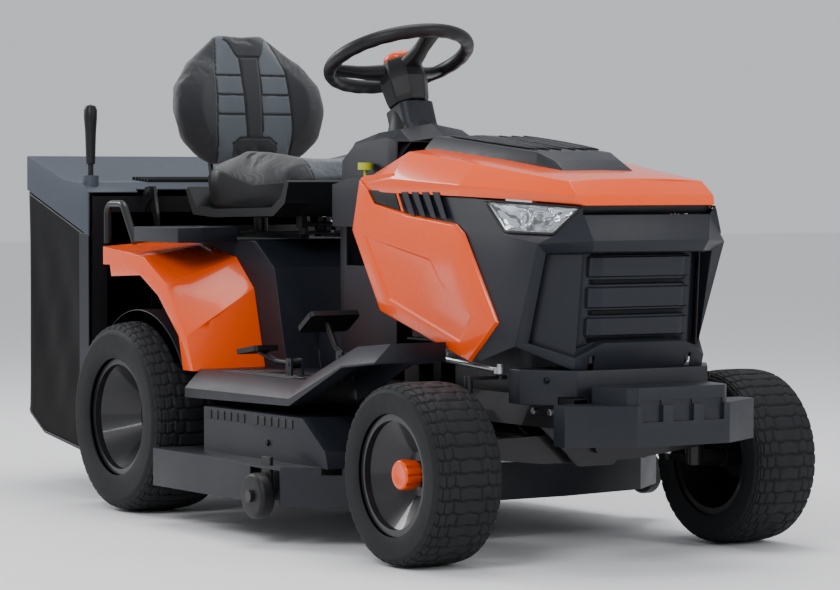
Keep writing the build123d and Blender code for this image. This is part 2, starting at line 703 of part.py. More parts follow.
lever_pivot_z = wing_top + 14
lever_pin = 4.0
lever_ears = [
    block((control_x - 9, control_x + 9), tuple(sorted((control_y + side * 6.4, control_y + side * 10))),
          (wing_top - 3, lever_pivot_z + 8)) for side in sides.values()
]
lever_ears.append(rod((control_x, control_y - 12, lever_pivot_z), (control_x, control_y + 12, lever_pivot_z), lever_pin))
knob_bore = rod((control_x, -control_y, wing_top - 40), (control_x, -control_y, wing_top + 40), 4 + pin_gap)
dash_tower = less(fused(dash_shell, column_cover.part, *lever_ears), shaft_bore, knob_bore)
save(dash_tower, "dash_tower")

# controls on the dash
knob_stem = rod((control_x, -control_y, wing_top - 24), (control_x, -control_y, wing_top + 24), 4)
knob = rod((control_x, -control_y, wing_top + 20), (control_x, -control_y, wing_top + 36), 17)
save(fused(knob_stem, knob), "blade_knob")
throttle_blade = block((control_x - 4, control_x + 4), (control_y - 3, control_y + 3), (lever_pivot_z, wing_top + 52))
throttle_hub = rod((control_x, control_y - 6, lever_pivot_z), (control_x, control_y + 6, lever_pivot_z), 10)
throttle_knob = block((control_x - 14, control_x + 14), (control_y - 8, control_y + 8), (wing_top + 48, wing_top + 66))
throttle_bore = rod((control_x, control_y - 30, lever_pivot_z), (control_x, control_y + 30, lever_pivot_z),
                    lever_pin + pin_gap)
save(less(fused(throttle_blade, throttle_hub, throttle_knob), throttle_bore), "throttle_lever")

# ---------------------------------------------------------------- rear body, fenders and footboards
body_half = 212.0
body_top = 652.0
body_low = rail_top + gap
seat_front = 240.0
floor_top = 356.0  # height of the footboards
tunnel_half = 120.0

body_outline = from_rear((-240, body_low), (-240, body_top), (seat_front, body_top), (330, 590), (392, body_low))
body_inner = from_rear((-250, body_low - 1), (-250, body_top - 4), (seat_front - 2, body_top - 4), (326, 588),
                       (387, body_low - 1))
tunnel_outline = from_rear((380, body_low), (380, 470), (499, 440), (499, body_low))
tunnel_inner = from_rear((370, body_low - 1), (370, 466), (510, 434), (510, body_low - 1))
wheel_arch_radius = rear_tyre_radius + 24


def arch(side):
    """Inner arch over a rear wheel: a strip of a cylinder that stands off the body's side."""
    low, high = sorted((side * (body_half + gap), side * 398))
    with BuildPart(mode=Mode.PRIVATE) as made:
        with BuildSketch(across(high)):
            with Locations((rear_x, rear_tyre_radius)):
                Circle(wheel_arch_radius + 4)
                Circle(wheel_arch_radius, mode=Mode.SUBTRACT)
            with Locations((rear_x, rear_tyre_radius - 300)):
                Rectangle(800, 860, mode=Mode.SUBTRACT)
        extrude(amount=high - low)
    return made.part


rear_shell = less(
    fused(prism_y(body_outline, -body_half, body_half), prism_y(tunnel_outline, -tunnel_half, tunnel_half)),
    prism_y(body_inner, 4 - body_half, body_half - 4),
    prism_y(tunnel_inner, 4 - tunnel_half, tunnel_half - 4),
)
slide_half = 105.0
slide_rails = [
    block(rear(10, 300), (side * slide_half - 16, side * slide_half + 16), (body_top + gap, body_top + 12))
    for side in sides.values()
]
slide_rails = [
    less(rail_bar, block(rear(0, 310), (side * slide_half - 12, side * slide_half + 12), (body_top + 4, body_top + 13)))
    for rail_bar, side in zip(slide_rails, sides.values())
]
save([rear_shell, arch(-1), arch(1)], "rear_body")

fender_out = 405.0
fender_in = body_half + gap
fender_wall = 4.0
outer_top = [(-176, 634), (37, 612), (154, 551), (250, 430), (287, 351)]
inner_top = [(-176, 648), (-2, 640), (150, 612), (236, 540), (290, 351)]
wall_drop = [(0, -4), (0, -4.5), (-3, -4), (-5, -2), (-4, 0)]


def fender():
    """Right fender: a sheet between its outer and inner edges, with a band down its outside."""
    def loop(top):
        under = [(x + dx, z + dz) for (x, z), (dx, dz) in zip(top, wall_drop)]
        return from_rear(*top, *reversed(under))

    with BuildPart(mode=Mode.PRIVATE) as made:
        for y, top in ((-fender_out, outer_top), (-fender_in, inner_top)):
            with BuildSketch(Plane(origin=(0, y, 0), x_dir=(1, 0, 0), z_dir=(0, -1, 0))):
                with BuildLine():
                    Polyline(*loop(top), close=True)
                make_face()
        loft(ruled=True)
    arch_edge = [(237, 351), (215, 430), (112, 522), (20, 568), (-132, 562), (-140, 590), (-176, 590)]
    band = prism_y(from_rear(*outer_top, *arch_edge), -fender_out, fender_wall - fender_out)
    return fused(made.part, band)


right_fender = fender()
save(pair(right_fender), "fenders")

tray_low = body_top - 3.6
tray_outline = [(-30, -396), (196, -396), (196, -330), (160, -216), (-30, -216)]
tray = prism_z(from_rear(*tray_outline), tray_low, tray_low + 36)
tray_wells = [
    block(rear(-24, 80), (-390, -222), (tray_low + 4, tray_low + 40)),
    block(rear(86, 158), (-390, -300), (tray_low + 4, tray_low + 40)),
]
save(pair(less(tray, *tray_wells)), "storage_trays")

handle_y = -382.0
handle_points = [(rear_x - 196, handle_y, 641), (rear_x - 196, handle_y, 738), (rear_x - 112, handle_y, 738),
                 (rear_x - 48, handle_y, 645)]
save(pair(swept(handle_points, [26, 26], 9)), "grab_handles")

board_out = 430.0
board_bevel = 40.0
board_top = [(292, floor_top), (774, floor_top), (1000, 440), (1136, 452)]
board_low = [(1136, 410), (1000, 396), (774, 300), (292, 292)]
board_split = 780.0
board_in = tunnel_half + gap


def footboard():
    """Right footboard: hollow below, with a bevel along its outer edge."""
    def along(top, low, y_low, y_high):
        return prism_y(from_rear(*top, *low), y_low, y_high)

    edge = [(292, floor_top - 42), (774, floor_top - 40), (1000, 400), (1136, 414)]
    with BuildPart(mode=Mode.PRIVATE) as bevel:
        for y, top in ((-board_out, edge), (board_bevel - board_out, board_top)):
            with BuildSketch(Plane(origin=(0, y, 0), x_dir=(1, 0, 0), z_dir=(0, -1, 0))):
                with BuildLine():
                    Polyline(*from_rear(*top, *board_low), close=True)
                make_face()
        loft(ruled=True)
    board = fused(along(board_top, board_low, board_bevel - board_out, -board_in), bevel.part)
    hollow_top = [(296, floor_top - 5), (776, floor_top - 5), (1000, 434), (1132, 446)]
    hollow_low = [(1132, 380), (1000, 380), (774, 280), (296, 280)]
    hollow = along(hollow_top, hollow_low, board_bevel - board_out + 2, 5 - board_in)
    cut_away = fused(block(rear(board_split, 1140), (-252, -100), (250, 460)),
                     block(rear(690, board_split + 1), (-194, -100), (250, 460)),
                     block(rear(280, 394), (-fender_in, -100), (250, 460)))
    with BuildPart(mode=Mode.PRIVATE) as side_wall:
        add(block(rear(board_split, 1132), (-257, -252), (300, 460)))
        add(prism_y(from_rear(*board_top, *board_low), -257, -252), mode=Mode.INTERSECT)
    return fused(less(board, hollow, cut_away), side_wall.part)


pedal_pin = 5.0


def pedal_ears(x, y, z, foot, spread):
    """Two ears with a cross pin that carry a pedal's arm."""
    ears = []
    for side in (-1, 1):
        middle = y + side * (spread / 2 + 4)
        ears.append(block((x - 12, x + 12), (middle - 3, middle + 3), (foot, z + 12)))
    ears.append(rod((x, y - spread / 2 - 9, z), (x, y + spread / 2 + 9, z), pedal_pin))
    return ears


drive_pivot = (rear(800), -300.0, 406.0)
reverse_pivot = (rear(640), -336.0, 384.0)
pedal_spread = 20.0
board = fused(footboard(), *pedal_ears(*drive_pivot, floor_top - 4, pedal_spread))
right_board = fused(board, *pedal_ears(*reverse_pivot, floor_top - 4, pedal_spread))
save([right_board, mirrored(board)], "footboards")


def pedal(pivot, arm_points, pad_centre, pad_size, lean):
    """Pedal with its hub on the pin, a bent arm and a ribbed pad."""
    x, y, z = pivot
    hub = rod((x, y - pedal_spread / 2 + gap, z), (x, y + pedal_spread / 2 - gap, z), 11)
    pieces = [hub]
    points = [(x, z), *arm_points]
    for start, end in zip(points, points[1:]):
        pieces.append(rod((start[0], y, start[1]), (end[0], y, end[1]), 6.5))
    with BuildPart(mode=Mode.PRIVATE) as pad:
        with BuildSketch(Plane(origin=pad_centre, x_dir=(cos(radians(lean)), 0, sin(radians(lean))), z_dir=(
                -sin(radians(lean)), 0, cos(radians(lean))))):
            RectangleRounded(pad_size[0], pad_size[1], 10)
        extrude(amount=12)
    pieces.append(pad.part)
    return less(fused(*pieces), rod((x, y - 30, z), (x, y + 30, z), pedal_pin + pin_gap))


drive_pad = (rear(716), -290.0, 476.0)
drive_arm = [(rear(760), 424), (rear(722), 478)]
forward_pedal = pedal(drive_pivot, drive_arm, drive_pad, (72, 128), 34)
save(forward_pedal, "forward_pedal")
save(mirrored(forward_pedal), "brake_pedal")
reverse_pad = (rear(470), -336.0, 402.0)
reverse_arm = [(rear(560), 386), (rear(480), 404)]
save(pedal(reverse_pivot, reverse_arm, reverse_pad, (96, 64), 8), "reverse_pedal")

# ---------------------------------------------------------------- front bumper
bumper_top = 406.0
cover_plan = from_front((62, -236), (112, -243), (212, -168), (212, 168), (112, 243), (62, 236))
cover_inner = from_front((50, -231), (110, -238), (208, -165), (208, 165), (110, 238), (50, 231))
with BuildPart() as bumper_cover:
    add(prism_z(cover_plan, 334, bumper_top))
    add(prism_z(cover_inner, 330, bumper_top - 4), mode=Mode.SUBTRACT)
    for side in sides.values():
        add(block(front(150, 260), tuple(sorted((side * 148, side * 192))), (320, rail_top + 1)), mode=Mode.SUBTRACT)
        add(block(front(40, 207), tuple(sorted((side * 119, side * 128.4))), (380, bumper_top + 4)),
            mode=Mode.SUBTRACT)
save(bumper_cover.part, "bumper_cover")

guard_back = 230.0
guard_plan = from_front((guard_back, -242), (276, -242), (352, -118), (352, 118), (276, 242), (guard_back, 242))
guard_raised = from_front((guard_back, -150), (330, -127), (345, -110), (345, 110), (330, 127), (guard_back, 150))
with BuildPart() as bumper_guard:
    add(prism_z(guard_plan, 256, 340))
    add(prism_z(guard_raised, 339, 376))
    fillet(bumper_guard.edges().filter_by(Axis.Z), 8)
    for y in (-78, 0, 78):
        with Locations((front(352), y, 328)):
            Box(20, 52, 44, mode=Mode.SUBTRACT)
    add(block(front(guard_back - 1, 300), (-90, 90), (250, 300)), mode=Mode.SUBTRACT)
save(bumper_guard.part, "bumper_guard")

# ---------------------------------------------------------------- hood
hood_pivot_x = front(190)
hood_pivot_z = 432.0
hood_pin_radius = 6.0
hood_sections = [  # distance from the front axle, lower half width, lower z, upper half width, upper z, crown z
    (-500, 236, 772, 226, 800, 812),
    (-348, 244, 768, 214, 858, 876),
    (-116, 244, 757, 196, 834, 852),
    (-50, 220, 755, 190, 826, 842),
    (212, 166, 746, 158, 786, 796),
]


def hood_loop(low_half, low_z, top_half, top_z, crown):
    """Closed cross-section of the hood's top, from its right lower edge over the crown."""
    half = [(-low_half, low_z), (-low_half, low_z + 12), (-top_half, top_z), (-top_half * 0.7, crown)]
    return half + [(-y, z) for y, z in reversed(half)]


def inner_loop(low_half, low_z, top_half, top_z, crown):
    """The same cross-section inside the wall, open below."""
    wall = body_wall
    half = [(wall - low_half, low_z - 8), (wall - low_half, low_z + 11), (wall - top_half, top_z - wall)]
    half.append((-top_half * 0.7, crown - wall))
    return half + [(-y, z) for y, z in reversed(half)]


hood_outer = ruled([(front(x), hood_loop(*rest)) for x, *rest in hood_sections])
stretched = [(hood_sections[0][0] - 4, *hood_sections[0][1:]), *hood_sections[1:-1]]
stretched.append((hood_sections[-1][0] - 4, *hood_sections[-1][1:]))
hood_hollow = ruled([(front(x), inner_loop(*rest)) for x, *rest in stretched])
save(less(hood_outer, hood_hollow), "hood_shell")

scoop_sections = [
    (-392, 132, 880, 120, 890), (-322, 130, 878, 112, 893), (50, 92, 848, 84, 862), (98, 72, 842, 66, 846)
]


def scoop_loop(low_half, low_z, top_half, top_z):
    return [(-low_half, low_z), (-top_half, top_z), (top_half, top_z), (low_half, low_z)]


scoop_solid = ruled([(front(x), scoop_loop(*rest)) for x, *rest in scoop_sections])
save(less(scoop_solid, hood_outer), "hood_scoop")

panel_thickness = 4.0
panel_outline = [(-550, 689), (-505, 766), (-352, 729), (-132, 712), (-110, 690), (33, 501), (-77, 411)]
panel_outline.append((-439, 506))
side_panel = prism_y(from_front(*panel_outline), -hood_half_width, panel_thickness - hood_half_width)
save(pair(side_panel), "side_panels")

inner_half = hood_half_width - panel_thickness - gap
fascia_side = [(-520, 700), (-498, 762), (-118, 753), (-52, 750), (-52, 440), (-77, 425), (-430, 520)]
fascia_rear = prism_y(from_front(*fascia_side), -inner_half, 3 - inner_half)
nose_floor = fused(
    block(front(-60, 112), (-200, 200), (430, 480)),
    *[block(front(-60, 206), tuple(sorted((side * 117.6, side * 127.8))), (380, 452)) for side in sides.values()],
    rod((hood_pivot_x, -127.8, hood_pivot_z), (hood_pivot_x, 127.8, hood_pivot_z), 12),
)
nose_sections = [  # distance from the front axle, then half width and height of three corners
    (-56, 240.6, 470, 240.6, 700, 226, 754), (60, 240.6, 452, 240.6, 690, 206, 752),
    (173, 238, 440, 241, 667, 176, 748), (212, 166, 428, 170, 690, 164, 744),
]


def nose_loop(low_half, low_z, mid_half, mid_z, top_half, top_z, inset=0.0):
    half = [(inset - low_half, low_z + 1.5 * inset), (inset - mid_half, mid_z), (inset - top_half, top_z - inset)]
    return half + [(-y, z) for y, z in reversed(half)]


nose_outer = ruled([(front(x), nose_loop(*rest)) for x, *rest in nose_sections])
open_nose = [(-60, *nose_sections[0][1:]), *nose_sections[1:]]
nose_hollow = fused(
    ruled([(front(x), nose_loop(*rest, inset=body_wall)) for x, *rest in open_nose]),
    prism_x(nose_loop(*nose_sections[-1][1:], inset=body_wall), *front(nose_sections[-1][0] - 1, 216)),
)
nose_space = ruled([(front(x), nose_loop(*rest, inset=body_wall + gap)) for x, *rest in open_nose])
lamp_outline = [(-50, 744), (204, 730), (196, 690), (40, 690)]
lamp_space = prism_y(from_front(*lamp_outline), -300, -120)
lug_outline = from_front((112, 450), (112, 468), (150, 468), (200, 444), (200, 422), (180, 422))
hinge_lug = prism_y(lug_outline, -134, -128)
hood_pin_bore = rod((hood_pivot_x, -200, hood_pivot_z), (hood_pivot_x, 200, hood_pivot_z),
                    hood_pin_radius + pin_gap)
grille_frame = common(block(front(100, 112), (-237, 237), (452, 688)), nose_outer)
grille_window = block(front(90, 130), (-206, 206), (480, 660))
fascia_nose = less(nose_outer, nose_hollow, lamp_space, mirrored(lamp_space), nose_floor)
fascia = less(fused(fascia_nose, less(grille_frame, grille_window)), hood_outer)
fascia_side_plate = less(fascia_rear, lamp_space, hood_outer)
fascia_body = fused(fascia, fascia_side_plate, mirrored(fascia_side_plate), hinge_lug, mirrored(hinge_lug))
save(less(fascia_body, hood_pin_bore), "hood_fascia")

grille_half = 160.0
grille_x = 196.0
louvre_count = 4
louvre_pitch = 50.0
with BuildPart() as grille:
    add(block(front(114, 120), (-200, 200), (470, 720)))
    for number in range(louvre_count):
        low = 472 + number * louvre_pitch
        add(prism_y(from_front((119, low), (grille_x, low), (grille_x + 2, low + 40), (119, low + 40)),
                    -grille_half, grille_half))
    add(prism_y(from_front((119, 686), (grille_x + 4, 686), (grille_x + 4, 738), (119, 738)), -154, 154))
save(less(common(grille.part, nose_space), hood_outer), "grille")

lamp_inset = 0.6
lamp_edge = prism_y(from_front((-46, 744 - lamp_inset), (200, 729), (192, 690 + lamp_inset), (41, 690 + lamp_inset)),
                    -300, -126)
save(pair(less(common(nose_outer, lamp_edge), nose_hollow, hood_outer)), "headlights")

hood_posts = []
for side in sides.values():
    low, high = sorted((side * 120, side * 127.4))
    post = prism_y(from_front((60, rail_top), (100, rail_top), (198, 420), (198, 444), (180, 446), (60, 380)),
                   low, high)
    foot = block(front(60, 100), tuple(sorted((side * 120, side * 170))), (rail_top, rail_top + 6))
    hood_posts.append(fused(post, foot))
hood_pin = rod((hood_pivot_x, -140, hood_pivot_z), (hood_pivot_x, 140, hood_pivot_z), hood_pin_radius)
hood_hinge = fused(*hood_posts, hood_pin)

# ---------------------------------------------------------------- seat
seat_hinge_x = rear(322)
seat_hinge_z = 692.0
carriage_low = body_top + 4 + gap
carriage_high = body_top + 20
with BuildPart() as carriage:
    for side in sides.values():
        add(block(rear(30, 290), (side * slide_half - 11.5, side * slide_half + 11.5),
                  (carriage_low, carriage_high - 4)))
    add(block(rear(20, 318), (-130, 130), (carriage_high - 4, carriage_high)))
    for side in sides.values():
        ear_low, ear_high = sorted((side * 122, side * 130))
        add(block(rear(306, 334), (ear_low, ear_high), (carriage_high - 4, seat_hinge_z + 10)))
    with Locations(Plane(origin=(seat_hinge_x, 0, seat_hinge_z), z_dir=(0, 1, 0))):
        Cylinder(6, 276)
    for side in sides.values():
        with Locations((rear(50), side * 90, (carriage_high + 706 - gap) / 2)):
            Cylinder(18, 706 - gap - carriage_high)
save(carriage.part, "seat_base")

pan_outline = from_rear((-104, 772), (-66, 712), (40, 706), (330, 712), (384, 742), (402, 792), (388, 796), (364, 756),
                        (320, 732), (40, 726), (-50, 732), (-88, 780))
with BuildPart() as seat_pan:
    add(prism_y(pan_outline, -214, 214))
    for side in sides.values():
        arm_low, arm_high = sorted((side * 96, side * 104))
        add(prism_y(from_rear((-100, 768), (-182, 800), (-190, 830), (-228, 986), (-216.2, 986), (-175.2, 818),
                              (-166, 808), (-86, 786)), arm_low, arm_high))
        lug_low, lug_high = sorted((side * 131, side * 139))
        add(prism_y(from_rear((308, 684), (308, 716), (336, 716), (336, 684)), lug_low, lug_high))
    with Locations(Plane(origin=(seat_hinge_x, 0, seat_hinge_z), z_dir=(0, 1, 0))):
        Cylinder(6 + pin_gap, 400, mode=Mode.SUBTRACT)
save(seat_pan.part, "seat_pan")

cushion_outline = from_rear((-76, 790), (-42, 738), (40, 728), (316, 734), (356, 760), (380, 802), (368, 834),
                            (330, 848), (150, 862), (-30, 850), (-68, 826))
with BuildPart() as seat_cushion:
    add(prism_y(cushion_outline, -seat_half_width, seat_half_width))
    fillet(seat_cushion.edges().filter_by(Axis.Y, reverse=True).group_by(Axis.Y)[0], 14)
save(seat_cushion.part, "seat_cushion")

back_lean = 14.0
back_thickness = 84.0
back_plane = Plane(origin=(rear(-92), 0, 838), x_dir=(0, 1, 0),
                   z_dir=(cos(radians(back_lean)), 0, sin(radians(back_lean))))
with BuildPart() as seat_back:
    with BuildSketch(back_plane):
        with BuildLine():
            Polyline((-140, 0), (-196, 44), (-224, 150), (-176, 270), (-112, 326), (-80, 352), (80, 352), (112, 326),
                     (176, 270), (224, 150), (196, 44), (140, 0), close=True)
        make_face()
    extrude(amount=-back_thickness)
    fillet(seat_back.faces().sort_by(Axis.X)[-1].edges(), 18)
save(seat_back.part, "seat_back")

# ---------------------------------------------------------------- grass catcher
catcher_front = rear(-298)
catcher_pivot_x = rear(-274)
catcher_pivot_z = 765.0
lid_wall = 4.0


def catcher_plan(inset, front_shift=0.0):
    """Outline of the catcher from above, with the rear corners cut off."""
    half = catcher_half_width - inset
    back = rear(-rear_overhang)
    return [(catcher_front + front_shift, -half), (rear(-650), -half), (back + inset, -258 + inset / 2),
            (back + inset, 258 - inset / 2), (rear(-650), half), (catcher_front + front_shift, half)]


lid_outline = from_rear((-298, 657), (-298, 767), (-335, 790), (-430, 797), (-640, 858), (-860, 850), (-860, 793),
                        (-650, 771))
lid_cavity = from_rear((-290, 640), (-290, 760), (-337, 785), (-430, 792), (-640, 853), (-860, 845), (-860, 640))
lid_outer = common(prism_z(catcher_plan(0), 600, 900), prism_y(lid_outline, -400, 400))
lid_inner = common(prism_z(catcher_plan(lid_wall, 10), 600, 900), prism_y(lid_cavity, -400, 400))
lever_x, lever_y = rear(-336), -358.0
lever_radius = 7.0
lid_hole = rod((lever_x, lever_y, 700), (lever_x, lever_y, 900), lever_radius + pin_gap)
lid_collar = rod((lever_x, lever_y, 770), (lever_x, lever_y, 808), 20)
lid_front_slot = block(rear(-310, -280), (-246, 246), (640, 786))
catcher_lid = less(fused(less(lid_outer, lid_inner), lid_collar), lid_hole, lid_front_slot)
save(catcher_lid, "catcher_lid")

with BuildPart() as catcher_frame:
    add(block(rear(-306, -298), (-372, 372), (118, 756)))
    add(block(rear(-320, -290), (-332, 332), (158, 716)), mode=Mode.SUBTRACT)
    add(block(rear(-306, -298), (-334, 334), (300, 320)))
    for side in sides.values():
        lug_low, lug_high = sorted((side * 222, side * 230))
        add(prism_y(from_rear((-306, 720), (-306, 756), (-288, 779), (-262, 779), (-262, 751), (-298, 716)),
                    lug_low, lug_high))
    with Locations(Plane(origin=(catcher_pivot_x, 0, catcher_pivot_z), z_dir=(0, 1, 0))):
        Cylinder(pivot_radius + pin_gap, 600, mode=Mode.SUBTRACT)
save(catcher_frame.part, "catcher_frame")

bag_outline = from_rear((-307, 114), (-307, 650), (-650, 764), (-842, 786), (-842, 330), (-800, 284), (-560, 150))
bag_cavity = from_rear((-300, 120), (-300, 644), (-650, 756), (-836, 778), (-836, 334), (-798, 292), (-560, 158))
bag_outer = common(prism_z(catcher_plan(lid_wall + 1, -9.4), 100, 800), prism_y(bag_outline, -400, 400))
bag_inner = common(prism_z(catcher_plan(lid_wall + 7, 4), 100, 800), prism_y(bag_cavity, -400, 400))
bag_mouth = block(rear(-320, -300), (-330, 330), (160, 660))
save(less(bag_outer, bag_inner, bag_mouth), "catcher_bag")

lever_rod = rod((lever_x, lever_y, 690), (lever_x, lever_y, 862), lever_radius)
lever_grip = rod((lever_x, lever_y, 846), (lever_x, lever_y, 985), 17)
save(fused(lever_rod, lever_grip), "dump_lever")

# ---------------------------------------------------------------- grass chute
chute_low, chute_high = 6.0, 142.0  # between the rails, on the left of the belt
chute_outline = from_rear((462, 190), (326, 190), (172, 284), (-30, 302), (-252, 340), (-252, 560), (-100, 500),
                          (200, 440), (462, 300))
chute_hollow = from_rear((470, 180), (332, 180), (172, 289), (-30, 307), (-260, 346), (-260, 556), (-100, 495),
                         (198, 435), (457, 296))
chute_hollow[0] = (rear(457), 180)
save(less(prism_y(chute_outline, chute_low, chute_high), prism_y(chute_hollow, chute_low + 4, chute_high - 4)),
     "grass_chute")

# ---------------------------------------------------------------- mower deck
spindle_x = rear(650)
spindle_y = 228.0
blade_radius = 224.0
shell_plan = from_rear((326, -430), (420, -462), (760, -462), (930, -356), (984, -150), (984, 150), (930, 356),
                       (760, 462), (420, 462), (326, 430))
shell_inner = from_rear((329, -427), (421, -459), (759, -459), (928, -353), (981, -149), (981, 149), (928, 353),
                        (759, 459), (421, 459), (329, 427))
hanger_spots = [(rear(480), side * 165.0) for side in sides.values()]
hanger_spots += [(rear(860), side * 165.0) for side in sides.values()]
hanger_radius = 6.0
with BuildPart() as deck_shell:
    add(prism_z(shell_plan, 94, deck_top))
    add(prism_z(shell_inner, 90, deck_top - 3), mode=Mode.SUBTRACT)
    add(block(rear(334, 452), (chute_low + 6, chute_high - 6), (100, 200)), mode=Mode.SUBTRACT)
    for side in sides.values():
        add(rod((spindle_x, side * spindle_y, deck_top - 20), (spindle_x, side * spindle_y, deck_top + 16), 30))
        wheel_low, wheel_high = sorted((side * 461, side * 503))
        add(block(rear(790, 810), (wheel_low, wheel_high), (100, 120)))
        add(rod((rear(800), side * 461, 110), (rear(800), side * 545, 110), 7))
        add(rod((rear(800), side * 541, 110), (rear(800), side * 548, 110), 13))
    for x, y in hanger_spots:
        add(rod((x, y, deck_top - 3), (x, y, deck_top + 22), 14))
    for side in sides.values():
        with Locations((spindle_x, side * spindle_y, deck_top)):
            Cylinder(12 + pin_gap, 90, mode=Mode.SUBTRACT)
    for x, y in hanger_spots:
        with Locations((x, y, deck_top)):
            Cylinder(hanger_radius + pin_gap, 90, mode=Mode.SUBTRACT)
save(deck_shell.part, "deck_shell")

cover_top = deck_top + gap + 4
skirt_plan = from_rear((282, -deck_half_width), (868, 3 - deck_half_width), (966, -388), (1004, -150), (1004, 150),
                       (966, 388), (868, deck_half_width - 3), (282, deck_half_width))
skirt_inner = from_rear((286, -504), (866, -501), (962, -386), (1000, -149), (1000, 149), (962, 386), (866, 501),
                        (286, 504))
hump_outline = from_rear((404, cover_top - 1), (404, 278), (850, 278), (948, 212), (960, cover_top - 1))
hump_hollow = from_rear((408, 160), (408, 274), (848, 274), (945, 209), (955, cover_top - 1), (955, 160))
deck_cover_parts = [less(prism_z(skirt_plan, deck_bottom, cover_top), prism_z(skirt_inner, 80, cover_top - 4))]
humps = prism_y(hump_outline, -440, -186)
deck_holes = [
    block(rear(320, 468), (chute_low - 4, chute_high + 4), (150, 200)),
    *[rod((x, y, 150), (x, y, 220), 16) for x, y in hanger_spots],
    *[rod((spindle_x, side * spindle_y, 150), (spindle_x, side * spindle_y, 190), 32) for side in sides.values()],
    *[block(rear(736, 864), tuple(sorted((side * 478, side * 520))), (80, 168)) for side in sides.values()],
]
hump_cavity = prism_y(hump_hollow, -436, -190)
deck_cover = less(fused(*deck_cover_parts, humps, mirrored(humps)), hump_cavity, mirrored(hump_cavity), *deck_holes)
save(deck_cover, "deck_cover")

for name, side in sides.items():
    centre_y = side * 522
    wheel = turned([(-18, 7 + pin_gap), (-18, 44), (-12, 50), (12, 50), (18, 44), (18, 7 + pin_gap)],
                   (rear(800), centre_y, 110))
    save(wheel, f"gauge_wheel_{name}")
    y = side * spindle_y
    spindle_shaft = rod((spindle_x, y, 106), (spindle_x, y, deck_top + 30), 12)
    bar = block((spindle_x - blade_radius, spindle_x + blade_radius), (y - 26, y + 26), (112, 116))
    bar = less(bar, *[prism_x([(y + sign * 27, 111), (y + sign * 27, 116.5), (y + sign * 12, 111)],
                              *sorted((spindle_x + sign * 120, spindle_x + sign * 230))) for sign in (-1, 1)])
    bar = common(bar, rod((spindle_x, y, 100), (spindle_x, y, 130), blade_radius))
    nut = rod((spindle_x, y, 104), (spindle_x, y, 124), 20)
    pulley = rod((spindle_x, y, deck_top + 18), (spindle_x, y, deck_top + 34), 36)
    save(fused(spindle_shaft, bar, nut, pulley), f"blade_{name}")

# ---------------------------------------------------------------- belt drive and frame
belt_low, belt_high = 236.0, 246.0
crank_pulley_radius = 46.0
with BuildPart() as crank_pulley:
    with BuildSketch(Plane.XY.offset(belt_low - 10)):
        with Locations((engine_x, 0)):
            Circle(crank_pulley_radius + 10)
    extrude(amount=8)
    with BuildSketch(Plane.XY.offset(belt_high + 2)):
        with Locations((engine_x, 0)):
            Circle(crank_pulley_radius + 10)
    extrude(amount=10)
    with BuildSketch(Plane.XY.offset(belt_low - 6)):
        with Locations((engine_x, 0)):
            Circle(crank_pulley_radius)
    extrude(amount=20)
    with Locations((engine_x, 0, belt_low)):
        Cylinder(crank_radius + pin_gap, 120, mode=Mode.SUBTRACT)
clutch = pipe((engine_x, 0, belt_low - 36), (engine_x, 0, belt_low - 10 - gap), 52, crank_radius + pin_gap)


def belt_loop(margin):
    """Solid inside a belt's outer or inner line: two discs and the straight stretches that touch them."""
    big, small = crank_pulley_radius + margin, input_pulley_radius + margin
    run = Vector(engine_x - input_pulley_x, -input_pulley_y, 0)
    tilt = Vector(1, 0, 0).get_signed_angle(run, Vector(0, 0, 1))
    spread = 90 - degrees_of((big - small) / run.length)
    points = []
    for centre, radius in (((engine_x, 0), big), ((input_pulley_x, input_pulley_y), small)):
        for sign in (1, -1):
            around = radians(tilt + sign * spread)
            points.append((centre[0] + radius * cos(around), centre[1] + radius * sin(around)))
    outline = [points[0], points[1], points[3], points[2]]
    return fused(
        rod((engine_x, 0, belt_low), (engine_x, 0, belt_high), big),
        rod((input_pulley_x, input_pulley_y, belt_low), (input_pulley_x, input_pulley_y, belt_high), small),
        prism_z(outline, belt_low, belt_high),
    )


def degrees_of(sine):
    """Angle whose sine is given, in degrees."""
    return Vector(1, 0, 0).get_angle(Vector((1 - sine**2) ** 0.5, sine, 0))


belt = less(belt_loop(9), belt_loop(gap))
save([crank_pulley.part, clutch, belt], "belt_drive")

hangers = [rod((x, y, 132), (x, y, rail_bottom), hanger_radius) for x, y in hanger_spots]
ears = []
for side in sides.values():
    low, high = sorted((side * 213, side * 221))
    ears.append(prism_y(from_rear((-241, 640), (-241, 700), (-262, 781), (-290, 781), (-290, 750), (-262, 700),
                                  (-246, 640)), low, high))
    ears.append(rod((catcher_pivot_x, side * 206, catcher_pivot_z), (catcher_pivot_x, side * 236, catcher_pivot_z),
                    pivot_radius))
with BuildPart() as back_plate:
    add(block((rear_plate_x, rear_plate_x + plate), (-rear_plate_half, rear_plate_half), (260, body_top + 30)))
    add(block((rear_plate_x - 1, rear_plate_x + plate + 1), (chute_low - 1, chute_high + 1), (337, 563)),
        mode=Mode.SUBTRACT)
    for ear in ears:
        add(ear)
    for side in sides.values():
        low, high = sorted((side * 150, side * 190))
        add(block((catcher_front + gap, rear_plate_x + 1), (low, high), (298, 322)))
save([*rails, *cross_members, back_plate.part, hitch.part, *front_bracket, axle_pin, steering_bracket, hood_hinge,
      *hangers], "frame")
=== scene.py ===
"""Looks of a ride-on lawn tractor with a rear grass catcher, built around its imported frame."""
import json
import logging
import math
from dataclasses import dataclass
from enum import Enum

